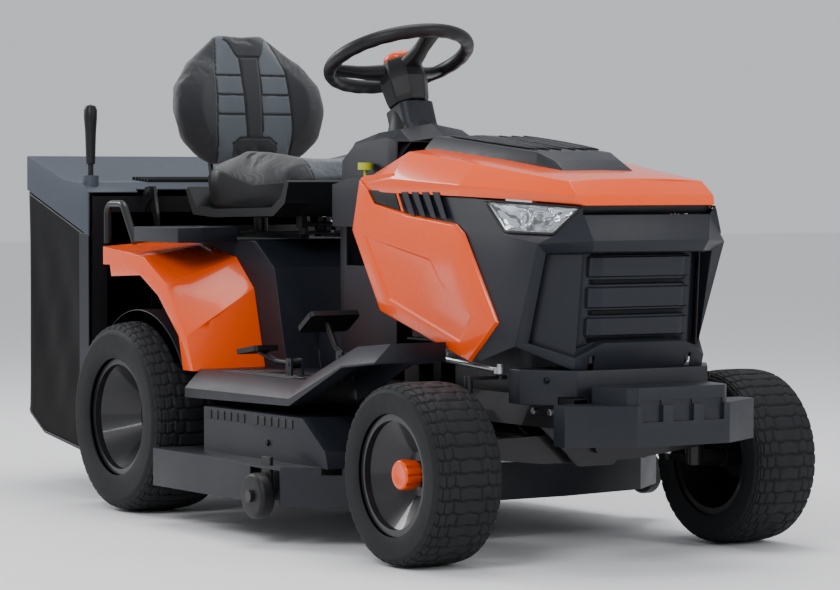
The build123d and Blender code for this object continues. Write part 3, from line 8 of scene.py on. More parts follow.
import bpy
import numpy as np
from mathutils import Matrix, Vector


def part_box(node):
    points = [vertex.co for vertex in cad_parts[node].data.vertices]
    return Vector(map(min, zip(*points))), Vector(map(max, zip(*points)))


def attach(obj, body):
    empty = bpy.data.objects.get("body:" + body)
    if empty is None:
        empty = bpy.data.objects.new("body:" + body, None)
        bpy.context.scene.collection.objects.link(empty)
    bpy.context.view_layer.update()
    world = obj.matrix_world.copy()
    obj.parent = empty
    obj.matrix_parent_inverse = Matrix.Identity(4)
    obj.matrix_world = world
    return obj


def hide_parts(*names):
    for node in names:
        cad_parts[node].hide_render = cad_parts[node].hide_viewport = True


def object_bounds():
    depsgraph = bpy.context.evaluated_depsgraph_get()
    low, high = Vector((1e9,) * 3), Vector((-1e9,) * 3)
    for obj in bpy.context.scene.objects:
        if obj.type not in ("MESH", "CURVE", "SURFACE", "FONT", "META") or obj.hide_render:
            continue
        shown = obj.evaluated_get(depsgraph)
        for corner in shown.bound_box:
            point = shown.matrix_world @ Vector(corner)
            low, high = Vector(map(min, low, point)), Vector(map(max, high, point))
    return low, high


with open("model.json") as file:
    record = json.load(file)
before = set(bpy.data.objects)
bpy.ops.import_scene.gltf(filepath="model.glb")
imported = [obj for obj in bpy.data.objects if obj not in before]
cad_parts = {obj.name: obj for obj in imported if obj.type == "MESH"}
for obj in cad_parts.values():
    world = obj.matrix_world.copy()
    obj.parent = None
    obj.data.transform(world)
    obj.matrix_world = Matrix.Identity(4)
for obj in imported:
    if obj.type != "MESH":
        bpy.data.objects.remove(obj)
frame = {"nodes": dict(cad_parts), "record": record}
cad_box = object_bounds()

LOG = logging.getLogger("lawn_tractor")
TAU = 2 * math.pi


class Side(Enum):
    """The two sides of the machine and the sign of Y on each."""

    RIGHT = -1
    LEFT = 1

    @property
    def word(self) -> str:
        """The side's name as nodes and bodies spell it."""
        return self.name.lower()


# ---------------------------------------------------------------- shader helpers
class Tree:
    """A node tree with short calls that add and join nodes."""

    def __init__(self, tree: bpy.types.NodeTree) -> None:
        """Wraps a node tree.

        Args:
            tree: The tree of a material or a node group.
        """
        self.tree = tree

    def add(self, kind: str, **settings: object) -> bpy.types.Node:
        """Adds a node.

        Args:
            kind: The node's type, such as ShaderNodeTexNoise.
            settings: Attributes set on the node, or input values where the name ends in _in.

        Returns:
            The new node.
        """
        node = self.tree.nodes.new(kind)
        for name, value in settings.items():
            if name.endswith("_in"):
                node.inputs[name[:-3].replace("_", " ").title()].default_value = value
            else:
                setattr(node, name, value)
        return node

    def join(self, source: bpy.types.NodeSocket, target: bpy.types.NodeSocket) -> None:
        """Joins an output to an input."""
        self.tree.links.new(source, target)

    def math(self, operation: str, first: object, second: object = 0.0) -> bpy.types.NodeSocket:
        """Adds a Math node.

        Args:
            operation: The node's operation.
            first: A socket or a number.
            second: A socket or a number.

        Returns:
            The result's socket.
        """
        node = self.add("ShaderNodeMath", operation=operation)
        for index, value in enumerate((first, second)):
            if isinstance(value, (int, float)):
                node.inputs[index].default_value = value
            else:
                self.join(value, node.inputs[index])
        return node.outputs[0]

    def blend(self, mask: object, first: object, second: object) -> bpy.types.NodeSocket:
        """Mixes two colours by a mask.

        Args:
            mask: A socket or number from 0, all first, to 1, all second.
            first: A socket or an RGB colour.
            second: A socket or an RGB colour.

        Returns:
            The mixed colour's socket.
        """
        node = self.add("ShaderNodeMix", data_type="RGBA")
        for index, value in ((0, mask), (6, first), (7, second)):
            if isinstance(value, bpy.types.NodeSocket):
                self.join(value, node.inputs[index])
            elif index == 0:
                node.inputs[0].default_value = value
            else:
                node.inputs[index].default_value = (*value, 1.0)
        return node.outputs[2]

    def ramp(self, value: bpy.types.NodeSocket, low: float, high: float) -> bpy.types.NodeSocket:
        """Stretches a value, clamped.

        Args:
            value: The socket to stretch.
            low: The value that gives 0.
            high: The value that gives 1.

        Returns:
            The result's socket.
        """
        node = self.add("ShaderNodeMapRange")
        self.join(value, node.inputs[0])
        node.inputs[1].default_value = low
        node.inputs[2].default_value = high
        return node.outputs[0]


def new_group(name: str, inputs: dict[str, float], outputs: dict[str, str]) -> tuple[Tree, object, object]:
    """Makes an empty shader node group.

    Args:
        name: The group's name.
        inputs: Names of float inputs with their defaults, and Colour for a colour input.
        outputs: Names of outputs with their socket types.

    Returns:
        The tree, its input node and its output node.
    """
    group = bpy.data.node_groups.new(name, "ShaderNodeTree")
    for label, value in inputs.items():
        kind = "NodeSocketColor" if isinstance(value, tuple) else "NodeSocketFloat"
        socket = group.interface.new_socket(label, in_out="INPUT", socket_type=kind)
        socket.default_value = (*value, 1.0) if isinstance(value, tuple) else value
    for label, kind in outputs.items():
        group.interface.new_socket(label, in_out="OUTPUT", socket_type=kind)
    tree = Tree(group)
    return tree, tree.add("NodeGroupInput"), tree.add("NodeGroupOutput")


def grain_group() -> bpy.types.NodeTree:
    """Moulded grain: fine noise cells mixed with slow waviness, as a height."""
    tree, source, sink = new_group("moulded_grain", {"Scale": 900.0, "Wave": 0.3},
                                   {"Height": "NodeSocketFloat"})
    place = tree.add("ShaderNodeTexCoord")
    cells = tree.add("ShaderNodeTexVoronoi")
    wave = tree.add("ShaderNodeTexNoise")
    wave.inputs["Scale"].default_value = 14.0
    for node in (cells, wave):
        tree.join(place.outputs["Object"], node.inputs["Vector"])
    tree.join(source.outputs["Scale"], cells.inputs["Scale"])
    slow = tree.math("MULTIPLY", wave.outputs["Fac"], source.outputs["Wave"])
    tree.join(tree.math("ADD", cells.outputs["Distance"], slow), sink.inputs["Height"])
    return tree.tree


def mottle_group() -> bpy.types.NodeTree:
    """Uneven colour and gloss: two sizes of noise shade a base colour and give a roughness mask."""
    tree, source, sink = new_group(
        "mottle", {"Colour": (0.5, 0.5, 0.5), "Second": (0.4, 0.4, 0.4), "Scale": 6.0, "Amount": 0.5},
        {"Colour": "NodeSocketColor", "Mask": "NodeSocketFloat"})
    place = tree.add("ShaderNodeTexCoord")
    coarse = tree.add("ShaderNodeTexNoise")
    coarse.inputs["Detail"].default_value = 5.0
    fine = tree.add("ShaderNodeTexNoise")
    fine.inputs["Detail"].default_value = 3.0
    for node in (coarse, fine):
        tree.join(place.outputs["Object"], node.inputs["Vector"])
    tree.join(source.outputs["Scale"], coarse.inputs["Scale"])
    tree.join(tree.math("MULTIPLY", source.outputs["Scale"], 11.0), fine.inputs["Scale"])
    both = tree.math("ADD", tree.math("MULTIPLY", coarse.outputs["Fac"], 0.7),
                     tree.math("MULTIPLY", fine.outputs["Fac"], 0.3))
    mask = tree.ramp(both, 0.38, 0.62)
    amount = tree.math("MULTIPLY", mask, source.outputs["Amount"])
    tree.join(tree.blend(amount, source.outputs["Colour"], source.outputs["Second"]), sink.inputs["Colour"])
    tree.join(mask, sink.inputs["Mask"])
    return tree.tree


def dust_group() -> bpy.types.NodeTree:
    """Dust that gathers low on the machine: a mask from height above the ground, broken by noise."""
    tree, source, sink = new_group("low_dust", {"Height": 0.4, "Amount": 0.3}, {"Mask": "NodeSocketFloat"})
    place = tree.add("ShaderNodeTexCoord")
    parts = tree.add("ShaderNodeSeparateXYZ")
    tree.join(place.outputs["Object"], parts.inputs[0])
    noise = tree.add("ShaderNodeTexNoise")
    noise.inputs["Scale"].default_value = 22.0
    noise.inputs["Detail"].default_value = 8.0
    tree.join(place.outputs["Object"], noise.inputs["Vector"])
    low = tree.math("SUBTRACT", 1.0, tree.math("DIVIDE", parts.outputs["Z"], source.outputs["Height"]))
    rough = tree.math("MULTIPLY", tree.math("MAXIMUM", low, 0.0), noise.outputs["Fac"])
    tree.join(tree.math("MULTIPLY", rough, source.outputs["Amount"]), sink.inputs["Mask"])
    return tree.tree


def weave_group() -> bpy.types.NodeTree:
    """Woven cloth: two crossed wave patterns along the cloth, as a height and a thread mask."""
    tree, source, sink = new_group("weave", {"Pitch": 0.0016}, {"Height": "NodeSocketFloat"})
    place = tree.add("ShaderNodeTexCoord")
    parts = tree.add("ShaderNodeSeparateXYZ")
    tree.join(place.outputs["Object"], parts.inputs[0])
    turns = tree.math("DIVIDE", TAU, source.outputs["Pitch"])
    along = tree.math("ADD", parts.outputs["X"], parts.outputs["Z"])
    first = tree.math("SINE", tree.math("MULTIPLY", parts.outputs["Y"], turns))
    second = tree.math("SINE", tree.math("MULTIPLY", along, turns))
    tree.join(tree.math("MULTIPLY", first, second), sink.inputs["Height"])
    return tree.tree


GROUPS = {"grain": grain_group(), "mottle": mottle_group(), "dust": dust_group(), "weave": weave_group()}


# ---------------------------------------------------------------- finishes
@dataclass(frozen=True)
class Finish:
    """A finish with uneven colour, grain and dust; the sub-classes add what is their own."""

    name: str
    colour: tuple[float, float, float]
    second: tuple[float, float, float]
    roughness: float = 0.5
    gloss_spread: float = 0.08
    metallic: float = 0.0
    coat: float = 0.0
    specular: float = 0.3
    mottle_scale: float = 6.0
    mottle: float = 0.5
    grain_scale: float = 900.0
    grain_depth: float = 0.00006
    wave: float = 0.2
    dust: float = 0.02
    dust_colour: tuple[float, float, float] = (0.28, 0.25, 0.2)

    def colours(self, tree: Tree) -> tuple[bpy.types.NodeSocket, bpy.types.NodeSocket]:
        """The colour and the gloss mask before dust.

        Args:
            tree: The material's tree.

        Returns:
            The colour's socket and the mask's socket.
        """
        mottle = tree.add("ShaderNodeGroup", node_tree=GROUPS["mottle"])
        mottle.inputs["Colour"].default_value = (*self.colour, 1.0)
        mottle.inputs["Second"].default_value = (*self.second, 1.0)
        mottle.inputs["Scale"].default_value = self.mottle_scale
        mottle.inputs["Amount"].default_value = self.mottle
        return mottle.outputs["Colour"], mottle.outputs["Mask"]

    def height(self, tree: Tree) -> bpy.types.NodeSocket:
        """The socket of the fine relief."""
        grain = tree.add("ShaderNodeGroup", node_tree=GROUPS["grain"])
        grain.inputs["Scale"].default_value = self.grain_scale
        grain.inputs["Wave"].default_value = self.wave
        return grain.outputs["Height"]

    def shade(self, shader: bpy.types.Node) -> None:
        """Sets what is the same all over on the shader's own sockets."""
        shader.inputs["Metallic"].default_value = self.metallic
        shader.inputs["Specular IOR Level"].default_value = self.specular
        shader.inputs["Coat Weight"].default_value = self.coat
        shader.inputs["Coat Roughness"].default_value = 0.06

    def make(self) -> bpy.types.Material:
        """Builds the material."""
        material = bpy.data.materials.new(self.name)
        material.use_nodes = True
        tree = Tree(material.node_tree)
        shader = material.node_tree.nodes["Principled BSDF"]
        colour, mask = self.colours(tree)
        dust = tree.add("ShaderNodeGroup", node_tree=GROUPS["dust"])
        dust.inputs["Height"].default_value = 0.55
        dust.inputs["Amount"].default_value = self.dust
        tree.join(tree.blend(dust.outputs["Mask"], colour, self.dust_colour), shader.inputs["Base Color"])
        spread = tree.math("MULTIPLY", mask, self.gloss_spread)
        dusty = tree.math("ADD", tree.math("ADD", spread, self.roughness),
                          tree.math("MULTIPLY", dust.outputs["Mask"], 0.4))
        tree.join(dusty, shader.inputs["Roughness"])
        bump = tree.add("ShaderNodeBump")
        bump.inputs["Distance"].default_value = self.grain_depth
        bump.inputs["Strength"].default_value = 1.0
        tree.join(self.height(tree), bump.inputs["Height"])
        tree.join(bump.outputs["Normal"], shader.inputs["Normal"])
        self.shade(shader)
        return material


@dataclass(frozen=True)
class Cloth(Finish):
    """A woven cover with panels: grey strips between dark sides, chosen by distance from the middle."""

    strip: tuple[float, float, float] = (0.062, 0.074, 0.088)
    pitch: float = 0.0022
    sheen: float = 0.35
    panel_attribute: str = ""

    def colours(self, tree: Tree) -> tuple[bpy.types.NodeSocket, bpy.types.NodeSocket]:
        """Cloth colour with its strips, from the piece's panel attribute, and painted shade along the seams."""
        colour, mask = super().colours(tree)
        if not self.panel_attribute:
            return colour, mask
        panel = tree.add("ShaderNodeAttribute", attribute_name=self.panel_attribute)
        strip = tree.ramp(panel.outputs["Fac"], 0.25, 0.35)
        # Where the panel attribute is -1, along the sunk seams, the colour falls to 0.35 of the base: painted
        # shade in the seam grooves.
        seam = tree.ramp(panel.outputs["Fac"], -0.5, -0.2)
        painted = tree.blend(strip, colour, self.strip)
        return tree.blend(seam, tuple(0.35 * c for c in self.colour), painted), mask

    def height(self, tree: Tree) -> bpy.types.NodeSocket:
        """The weave's relief."""
        weave = tree.add("ShaderNodeGroup", node_tree=GROUPS["weave"])
        weave.inputs["Pitch"].default_value = self.pitch
        return weave.outputs["Height"]

    def shade(self, shader: bpy.types.Node) -> None:
        """Adds the soft sheen of cloth."""
        super().shade(shader)
        shader.inputs["Sheen Weight"].default_value = self.sheen
        shader.inputs["Sheen Roughness"].default_value = 0.5


@dataclass(frozen=True)
class Clear(Finish):
    """Clear moulded plastic."""

    def shade(self, shader: bpy.types.Node) -> None:
        """Lets light through."""
        super().shade(shader)
        shader.inputs["Transmission Weight"].default_value = 0.95
        shader.inputs["IOR"].default_value = 1.45


ORANGE = Finish("orange_gloss", (0.86, 0.078, 0.001), (0.80, 0.068, 0.001), roughness=0.24,
                gloss_spread=0.06, coat=0.35, mottle_scale=3.0, grain_scale=420, grain_depth=0.00002,
                wave=0.9, dust=0.01)
SLATE = Finish("slate_satin", (0.0085, 0.0102, 0.0155), (0.0118, 0.014, 0.0205), roughness=0.40,
               grain_scale=1100, grain_depth=0.00005)
LID = Finish("lid_grey_satin", (0.040, 0.050, 0.067), (0.049, 0.060, 0.079), roughness=0.42,
             grain_scale=1000, grain_depth=0.00006)
BLACK_PLASTIC = Finish("black_plastic_satin", (0.0034, 0.0037, 0.0048), (0.0052, 0.0056, 0.007),
                       roughness=0.42, grain_scale=1000)
GRIP = Finish("grip_black", (0.006, 0.0062, 0.0075), (0.009, 0.0092, 0.0105), roughness=0.38,
              gloss_spread=0.12, grain_scale=1400, grain_depth=0.00005)
STEEL_BLACK = Finish("steel_black_paint", (0.007, 0.007, 0.0085), (0.011, 0.011, 0.0125), roughness=0.36,
                     coat=0.2, grain_scale=500, grain_depth=0.00003, dust=0.04)
RIM = Finish("rim_black_satin", (0.008, 0.008, 0.011), (0.012, 0.012, 0.016), roughness=0.33, coat=0.3,
             grain_scale=420, grain_depth=0.00003, dust=0.03)
TYRE = Finish("tyre_rubber", (0.0068, 0.008, 0.0098), (0.0105, 0.012, 0.0142), roughness=0.6,
              gloss_spread=0.14, grain_scale=800, grain_depth=0.0001, dust=0.06,
              dust_colour=(0.16, 0.15, 0.13), specular=0.22)
ZINC = Finish("zinc_bright", (0.55, 0.56, 0.58), (0.42, 0.43, 0.46), roughness=0.28, metallic=1.0,
              mottle_scale=40, grain_scale=700, grain_depth=0.00002, dust=0.25)
CASTING = Finish("cast_alloy", (0.085, 0.09, 0.095), (0.06, 0.063, 0.067), roughness=0.5, metallic=0.85,
                 mottle_scale=25, grain_scale=380, grain_depth=0.0002, dust=0.08)
CHROME = Finish("chrome", (0.83, 0.84, 0.86), (0.76, 0.77, 0.79), roughness=0.08, gloss_spread=0.05,
                metallic=1.0, grain_depth=0.00001)
KNOB = Finish("knob_yellow", (0.45, 0.5, 0.03), (0.4, 0.45, 0.025), roughness=0.3, coat=0.3)
GLASS = Clear("lens_clear", (0.94, 0.96, 0.98), (0.9, 0.92, 0.95), roughness=0.04, gloss_spread=0.02,
              grain_depth=0.00001, mottle=0.2, dust=0.0)
SEAT_CLOTH = Cloth("seat_cloth", (0.006, 0.0072, 0.0102), (0.0085, 0.0099, 0.0135), roughness=0.72,
                   grain_depth=0.00025, mottle_scale=12, dust=0.0, panel_attribute="panel")
BAG_CLOTH = Cloth("bag_mesh_cloth", (0.003, 0.003, 0.0038), (0.0045, 0.0045, 0.0055), roughness=0.75,
                  pitch=0.0072, sheen=0.03, specular=0.12, grain_depth=0.00016)


class Paintbox:
    """Keeps one material for each finish."""

    made: dict[str, bpy.types.Material] = {}

    @classmethod
    def of(cls, finish: Finish) -> bpy.types.Material:
        """The finish's material, made on first use."""
        if finish.name not in cls.made:
            cls.made[finish.name] = finish.make()
        return cls.made[finish.name]


# ---------------------------------------------------------------- meshes from arrays
def grid_faces(rows: int, columns: int, wrap_rows: bool = False, wrap_columns: bool = False) -> np.ndarray:
    """Quads of a grid whose vertices run row by row.

    Args:
        rows: Number of rows.
        columns: Number of columns.
        wrap_rows: Whether the last row joins the first.
        wrap_columns: Whether the last column joins the first.

    Returns:
        Vertex numbers, four to a face.
    """
    row = np.arange(rows if wrap_rows else rows - 1)[:, None]
    column = np.arange(columns if wrap_columns else columns - 1)[None, :]
    next_row, next_column = (row + 1) % rows, (column + 1) % columns
    quads = [row * columns + column, row * columns + next_column,
             next_row * columns + next_column, next_row * columns + column]
    return np.stack([q.ravel() for q in quads], axis=1)


def new_mesh(name: str, points: np.ndarray, faces: list | np.ndarray,
             smooth: bool = True) -> bpy.types.Object:
    """Makes a mesh object from arrays and links it.

    Args:
        name: The object's name.
        points: Vertices, three numbers each.
        faces: Faces as rows or lists of vertex numbers.
        smooth: Whether faces shade smoothly.

    Returns:
        The object, at the origin.
    """
    mesh = bpy.data.meshes.new(name)
    corners = np.asarray(points, float).reshape(-1, 3).tolist()
    mesh.from_pydata(corners, [], [list(map(int, face)) for face in faces])
    mesh.validate()
    mesh.polygons.foreach_set("use_smooth", np.full(len(mesh.polygons), smooth))
    mesh.update()
    made = bpy.data.objects.new(name, mesh)
    bpy.context.scene.collection.objects.link(made)
    return made


def face_outwards(piece: bpy.types.Object) -> None:
    """Turns every face of a closed mesh outwards.

    Args:
        piece: The mesh object.
    """
    bpy.ops.object.select_all(action="DESELECT")
    bpy.context.view_layer.objects.active = piece
    piece.select_set(True)
    bpy.ops.object.mode_set(mode="EDIT")
    bpy.ops.mesh.select_all(action="SELECT")
    bpy.ops.mesh.normals_make_consistent(inside=False)
    bpy.ops.object.mode_set(mode="OBJECT")
    piece.select_set(False)


def publish(piece: bpy.types.Object, finish: Finish, body: str,
            replaces: tuple[str, ...] = ()) -> None:
    """Dresses a piece and gives it to its body.

    Args:
        piece: The finished mesh object.
        finish: What it is made of.
        body: The body it rides on.
        replaces: Nodes that it stands for.
    """
    piece.data.materials.clear()
    piece.data.materials.append(Paintbox.of(finish))
    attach(piece, body)
    if replaces:
        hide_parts(*replaces)
    LOG.info("%s on %s: %d faces", piece.name, body, len(piece.data.polygons))


def loft(name: str, loops: np.ndarray, closed: bool = True, smooth: bool = False) -> bpy.types.Object:
    """A solid through a row of loops, capped at both ends.

    Args:
        name: The piece's name.
        loops: Array of rows of points, one row a loop, all with as many points.
        closed: Whether the ends are capped.
        smooth: Whether faces shade smoothly.

    Returns:
        The object.
    """
    rows, columns = loops.shape[:2]
    faces = grid_faces(rows, columns, wrap_columns=True).tolist()
    if closed:
        faces.append(list(range(columns))[::-1])
        faces.append([(rows - 1) * columns + i for i in range(columns)])
    piece = new_mesh(name, loops, faces, smooth)
    face_outwards(piece)
    return piece


def tube(name: str, path: np.ndarray, radius: float | np.ndarray, sides: int = 16, loop: bool = False,
         smooth: bool = True) -> bpy.types.Object:
    """A round bar along a path: at each point a circle stands square to the path.

    Args:
        name: The piece's name.
        path: Points along the middle.
        radius: One radius, or one for each point.
        sides: Points round the bar.
        loop: Whether the path closes on itself.
        smooth: Whether faces shade smoothly.

    Returns:
        The object.
    """
    path = np.asarray(path, float)
    if loop:
        ahead = np.roll(path, -1, 0) - np.roll(path, 1, 0)
    else:
        ahead = np.gradient(path, axis=0)
    ahead /= np.linalg.norm(ahead, axis=1, keepdims=True)
    up = np.array([0.0, 0.0, 1.0]) if np.abs(ahead[:, 2]).mean() < 0.8 else np.array([1.0, 0.0, 0.0])
    across = np.cross(ahead, up)
    across /= np.linalg.norm(across, axis=1, keepdims=True)
    rise = np.cross(across, ahead)
    turn = np.linspace(0, TAU, sides, endpoint=False)
    radii = np.broadcast_to(np.asarray(radius, float), (len(path),))[:, None, None]
    ring = across[:, None] * np.cos(turn)[None, :, None] + rise[:, None] * np.sin(turn)[None, :, None]
    points = path[:, None] + ring * radii
    faces = grid_faces(len(path), sides, wrap_rows=loop, wrap_columns=True).tolist()
    if not loop:
        faces += [list(range(sides))[::-1], [(len(path) - 1) * sides + i for i in range(sides)]]
    piece = new_mesh(name, points, faces, smooth)
    face_outwards(piece)
    return piece


def bevelled(piece: bpy.types.Object, width: float, segments: int = 2) -> bpy.types.Object:
    """Rounds a piece's sharp edges.

    Args:
        piece: The mesh object.
        width: Width of the rounding.
        segments: Steps across it.

    Returns:
        The same object.
    """
    modifier = piece.modifiers.new("edge", "BEVEL")
    modifier.width = width
    modifier.segments = segments
    modifier.limit_method = "ANGLE"
    modifier.angle_limit = math.radians(24)
    apply_all(piece)
    return piece


def apply_all(piece: bpy.types.Object) -> None:
    """Turns a piece's modifiers into its mesh.

    Args:
        piece: The object.
    """
    graph = bpy.context.evaluated_depsgraph_get()
    mesh = bpy.data.meshes.new_from_object(piece.evaluated_get(graph))
    piece.modifiers.clear()
    piece.data = mesh


def block(name: str, low: tuple[float, float, float], high: tuple[float, float, float],
          edge: float = 0.002) -> bpy.types.Object:
    """A box with rounded edges.

    Args:
        name: The piece's name.
        low: Its lowest corner.
        high: Its highest corner.
        edge: Width of the rounding.

    Returns:
        The object.
    """
    x, y, z = zip(low, high)
    loops = np.array([[(a, y[0], z[0]), (a, y[1], z[0]), (a, y[1], z[1]), (a, y[0], z[1])] for a in x])
    return bevelled(loft(name, loops), edge)


def turned(name: str, profile: np.ndarray, centre: Vector, axis: str = "Y", segments: int = 64,
           closed: bool = True) -> bpy.types.Object:
    """A turned solid: each profile point (along, radius) goes round the axis.

    Args:
        name: The piece's name.
        profile: Rows of distance along the axis and radius.
        centre: Where the axis passes at distance 0.
        axis: X, Y or Z.
        segments: Steps round the axis.
        closed: Whether the profile's ends lie on the axis.

    Returns:
        The object.
    """
    turn = np.linspace(0, TAU, segments, endpoint=False)[:, None]
    along = np.broadcast_to(profile[:, 0], (segments, len(profile)))
    first, second = profile[:, 1] * np.cos(turn), profile[:, 1] * np.sin(turn)
    order = {"X": (along, first, second), "Y": (second, along, first), "Z": (first, second, along)}[axis]
    points = np.stack(order, axis=2) + np.array(centre)
    faces = grid_faces(segments, len(profile), wrap_rows=True, wrap_columns=not closed).tolist()
    piece = new_mesh(name, points, faces)
    if closed:
        bpy.context.view_layer.objects.active = piece
        weld(piece, 1e-6)
    face_outwards(piece)
    return piece


def weld(piece: bpy.types.Object, distance: float) -> None:
    """Merges points that lie on each other, as at a pole.

    Args:
        piece: The mesh object.
        distance: How near points have to be.
    """
    modifier = piece.modifiers.new("weld", "WELD")
    modifier.merge_threshold = distance
    apply_all(piece)


def smoothstep(value: np.ndarray, low: float, high: float) -> np.ndarray:
    """A smooth step.

    Args:
        value: The values.
        low: Where the step starts from 0.
        high: Where it reaches 1.

    Returns:
        The step's height at each value.
    """
    share = np.clip((value - low) / (high - low), 0, 1)
    return share * share * (3 - 2 * share)


# ---------------------------------------------------------------- running gear
@dataclass
class Tyre:
    """A turf tyre: a profile loop carried round the axle, with rows of blocks pressed out of its crown.

    In the tread, rows across are cut by grooves that zigzag like a wave, and each row is cut into blocks by
    short grooves that step by half a block from one row to the next.
    """

    node: str
    body: str
    radius: float
    width: float
    bead_radius: float
    rows: int = 44
    columns: int = 7
    depth: float = 0.0052

    def profile(self, count: int) -> tuple[np.ndarray, np.ndarray, np.ndarray]:
        """The tyre's cross-section, from bead over the crown to bead.

        The outside is a superellipse that is full at the shoulder; across is its half width times a cosine
        raised to a power, and out rises from the bead to the crown.

        Args:
            count: Points on the outside.

        Returns:
            Distance across, radius, and each point's share of the way, from -1 to 1.
        """
        share = np.linspace(-1, 1, count)
        wrap = math.radians(118)
        angle = share * wrap
        power = 0.62
        across = self.width / 2 * np.sign(np.sin(angle)) * np.abs(np.sin(angle)) ** power
        middle = (self.radius + self.bead_radius) / 2 + 0.008
        rise = np.sign(np.cos(angle)) * np.abs(np.cos(angle)) ** 0.72
        out = np.where(rise > 0, middle + (self.radius - self.depth - middle) * rise,
                       middle + (middle - self.bead_radius) * rise / np.abs(np.cos(wrap)) ** 0.72)
        return across, out, share

    def tread(self, turn: np.ndarray, across: np.ndarray) -> np.ndarray:
        """Height of the blocks from 0 in a groove to 1 on top.

        Rows are counted along the turn plus a zigzag of the place across; blocks are counted across.

        Args:
            turn: Turn angle of each point.
            across: Place across the tread, from -1 to 1.

        Returns:
            The height of each point.
        """
        lane = (across * 0.5 + 0.5) * self.columns
        wave = 0.16 * np.abs(((lane * 1.0) % 1.0) * 2 - 1) + 0.05 * np.cos(lane * math.pi)
        row = turn / TAU * self.rows + wave
        from_row = np.abs((row % 1.0) - 0.5)
        shift = 0.5 * (np.floor(row) % 2)
        from_lane = np.abs(((lane + shift) % 1.0) - 0.5)
        row_wall = 1 - smoothstep(from_row, 0.40, 0.445)
        lane_wall = 1 - smoothstep(from_lane, 0.425, 0.465)
        return row_wall * np.where(np.abs(across) < 0.93, lane_wall, 1.0)

    def build(self) -> None:
        """Makes the tyre and puts it in place of its node."""
        low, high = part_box(self.node)
        centre = (low + high) / 2
        crown_points, steps = 120, self.rows * 12
        across, out, share = self.profile(crown_points)
        turn = np.linspace(0, TAU, steps, endpoint=False)[:, None]
        tread_half = 0.44
        place = share[None, :] / tread_half
        height = self.tread(turn + 0 * place, np.clip(place, -1, 1))
        fade = 1 - smoothstep(np.abs(place), 0.96, 1.12)
        lug_row = np.abs(((turn / TAU * self.rows + 0.05) % 1.0) - 0.5)
        shoulder = (1 - smoothstep(lug_row, 0.36, 0.44)) * (1 - smoothstep(np.abs(place), 1.1, 1.32))
        relief = np.maximum(height * fade, shoulder * (1 - fade) * 0.8) * self.depth
        normal_out = np.cos(share * math.radians(90))
        normal_across = np.sin(share * math.radians(90))
        ring = 0.0016 * (smoothstep(np.abs(share), 0.70, 0.715) - smoothstep(np.abs(share), 0.735, 0.75))
        radius = out + relief * normal_out + 0 * turn
        aside = across + (relief + ring) * normal_across * 0.9 + 0 * turn
        aside = np.clip(aside, -self.width / 2, self.width / 2)
        bead, crown, inner_half = self.bead_radius + 0.004, self.radius - 0.03, across[-1]
        inner = np.array([[inner_half * 0.93, bead], [inner_half * 0.9, crown],
                          [-inner_half * 0.9, crown], [-inner_half * 0.93, bead]])
        aside = np.concatenate([aside, np.tile(inner[:, 0], (steps, 1))], axis=1)
        radius = np.concatenate([radius, np.tile(inner[:, 1], (steps, 1))], axis=1)
        points = np.stack([centre.x + radius * np.sin(turn), centre.y + aside,
                           centre.z + radius * np.cos(turn)], axis=2)
        faces = grid_faces(steps, points.shape[1], wrap_rows=True, wrap_columns=True)
        piece = new_mesh(f"{self.node}_treaded", points, faces)
        face_outwards(piece)
        publish(piece, TYRE, self.body, (self.node,))


@dataclass
class HubCap:
    """A ribbed cap: a turned cup whose side swells and shrinks with the angle."""

    side: Side
    ribs: int = 10
    rib_depth: float = 0.0032

    def build(self) -> None:
        """Makes the cap and puts it in place of its node."""
        node = f"hub_cap_{self.side.word}"
        low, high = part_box(node)
        centre = (low + high) / 2
        radius, length = (high.z - low.z) / 2, high.y - low.y
        sign = self.side.value
        along = np.array([0, 0.0, 0.2, 0.55, 0.82, 0.93, 1.0, 1.0, 0.985, 0.985])
        reach = np.array([0, 0.88, 0.93, 0.97, 1.0, 0.96, 0.86, 0.6, 0.55, 0.0])
        steps = self.ribs * 16
        turn = np.linspace(0, TAU, steps, endpoint=False)[:, None]
        notch = smoothstep(np.cos(turn * self.ribs), 0.2, 0.75)
        depth = self.rib_depth * np.clip((reach - 0.7) / 0.2, 0, 1) * (along < 0.9)
        out = reach * radius - notch * depth
        aside = centre.y + sign * (along - 0.5) * length + 0 * turn
        points = np.stack([centre.x + out * np.cos(turn), aside, centre.z + out * np.sin(turn)], axis=2)
        piece = new_mesh(f"{node}_ribbed", points, grid_faces(steps, len(along), wrap_rows=True))
        weld(piece, 1e-6)
        face_outwards(piece)
        bevelled(piece, 0.0008, 1)
        publish(piece, ORANGE, f"front_wheel_{self.side.word}", (node,))


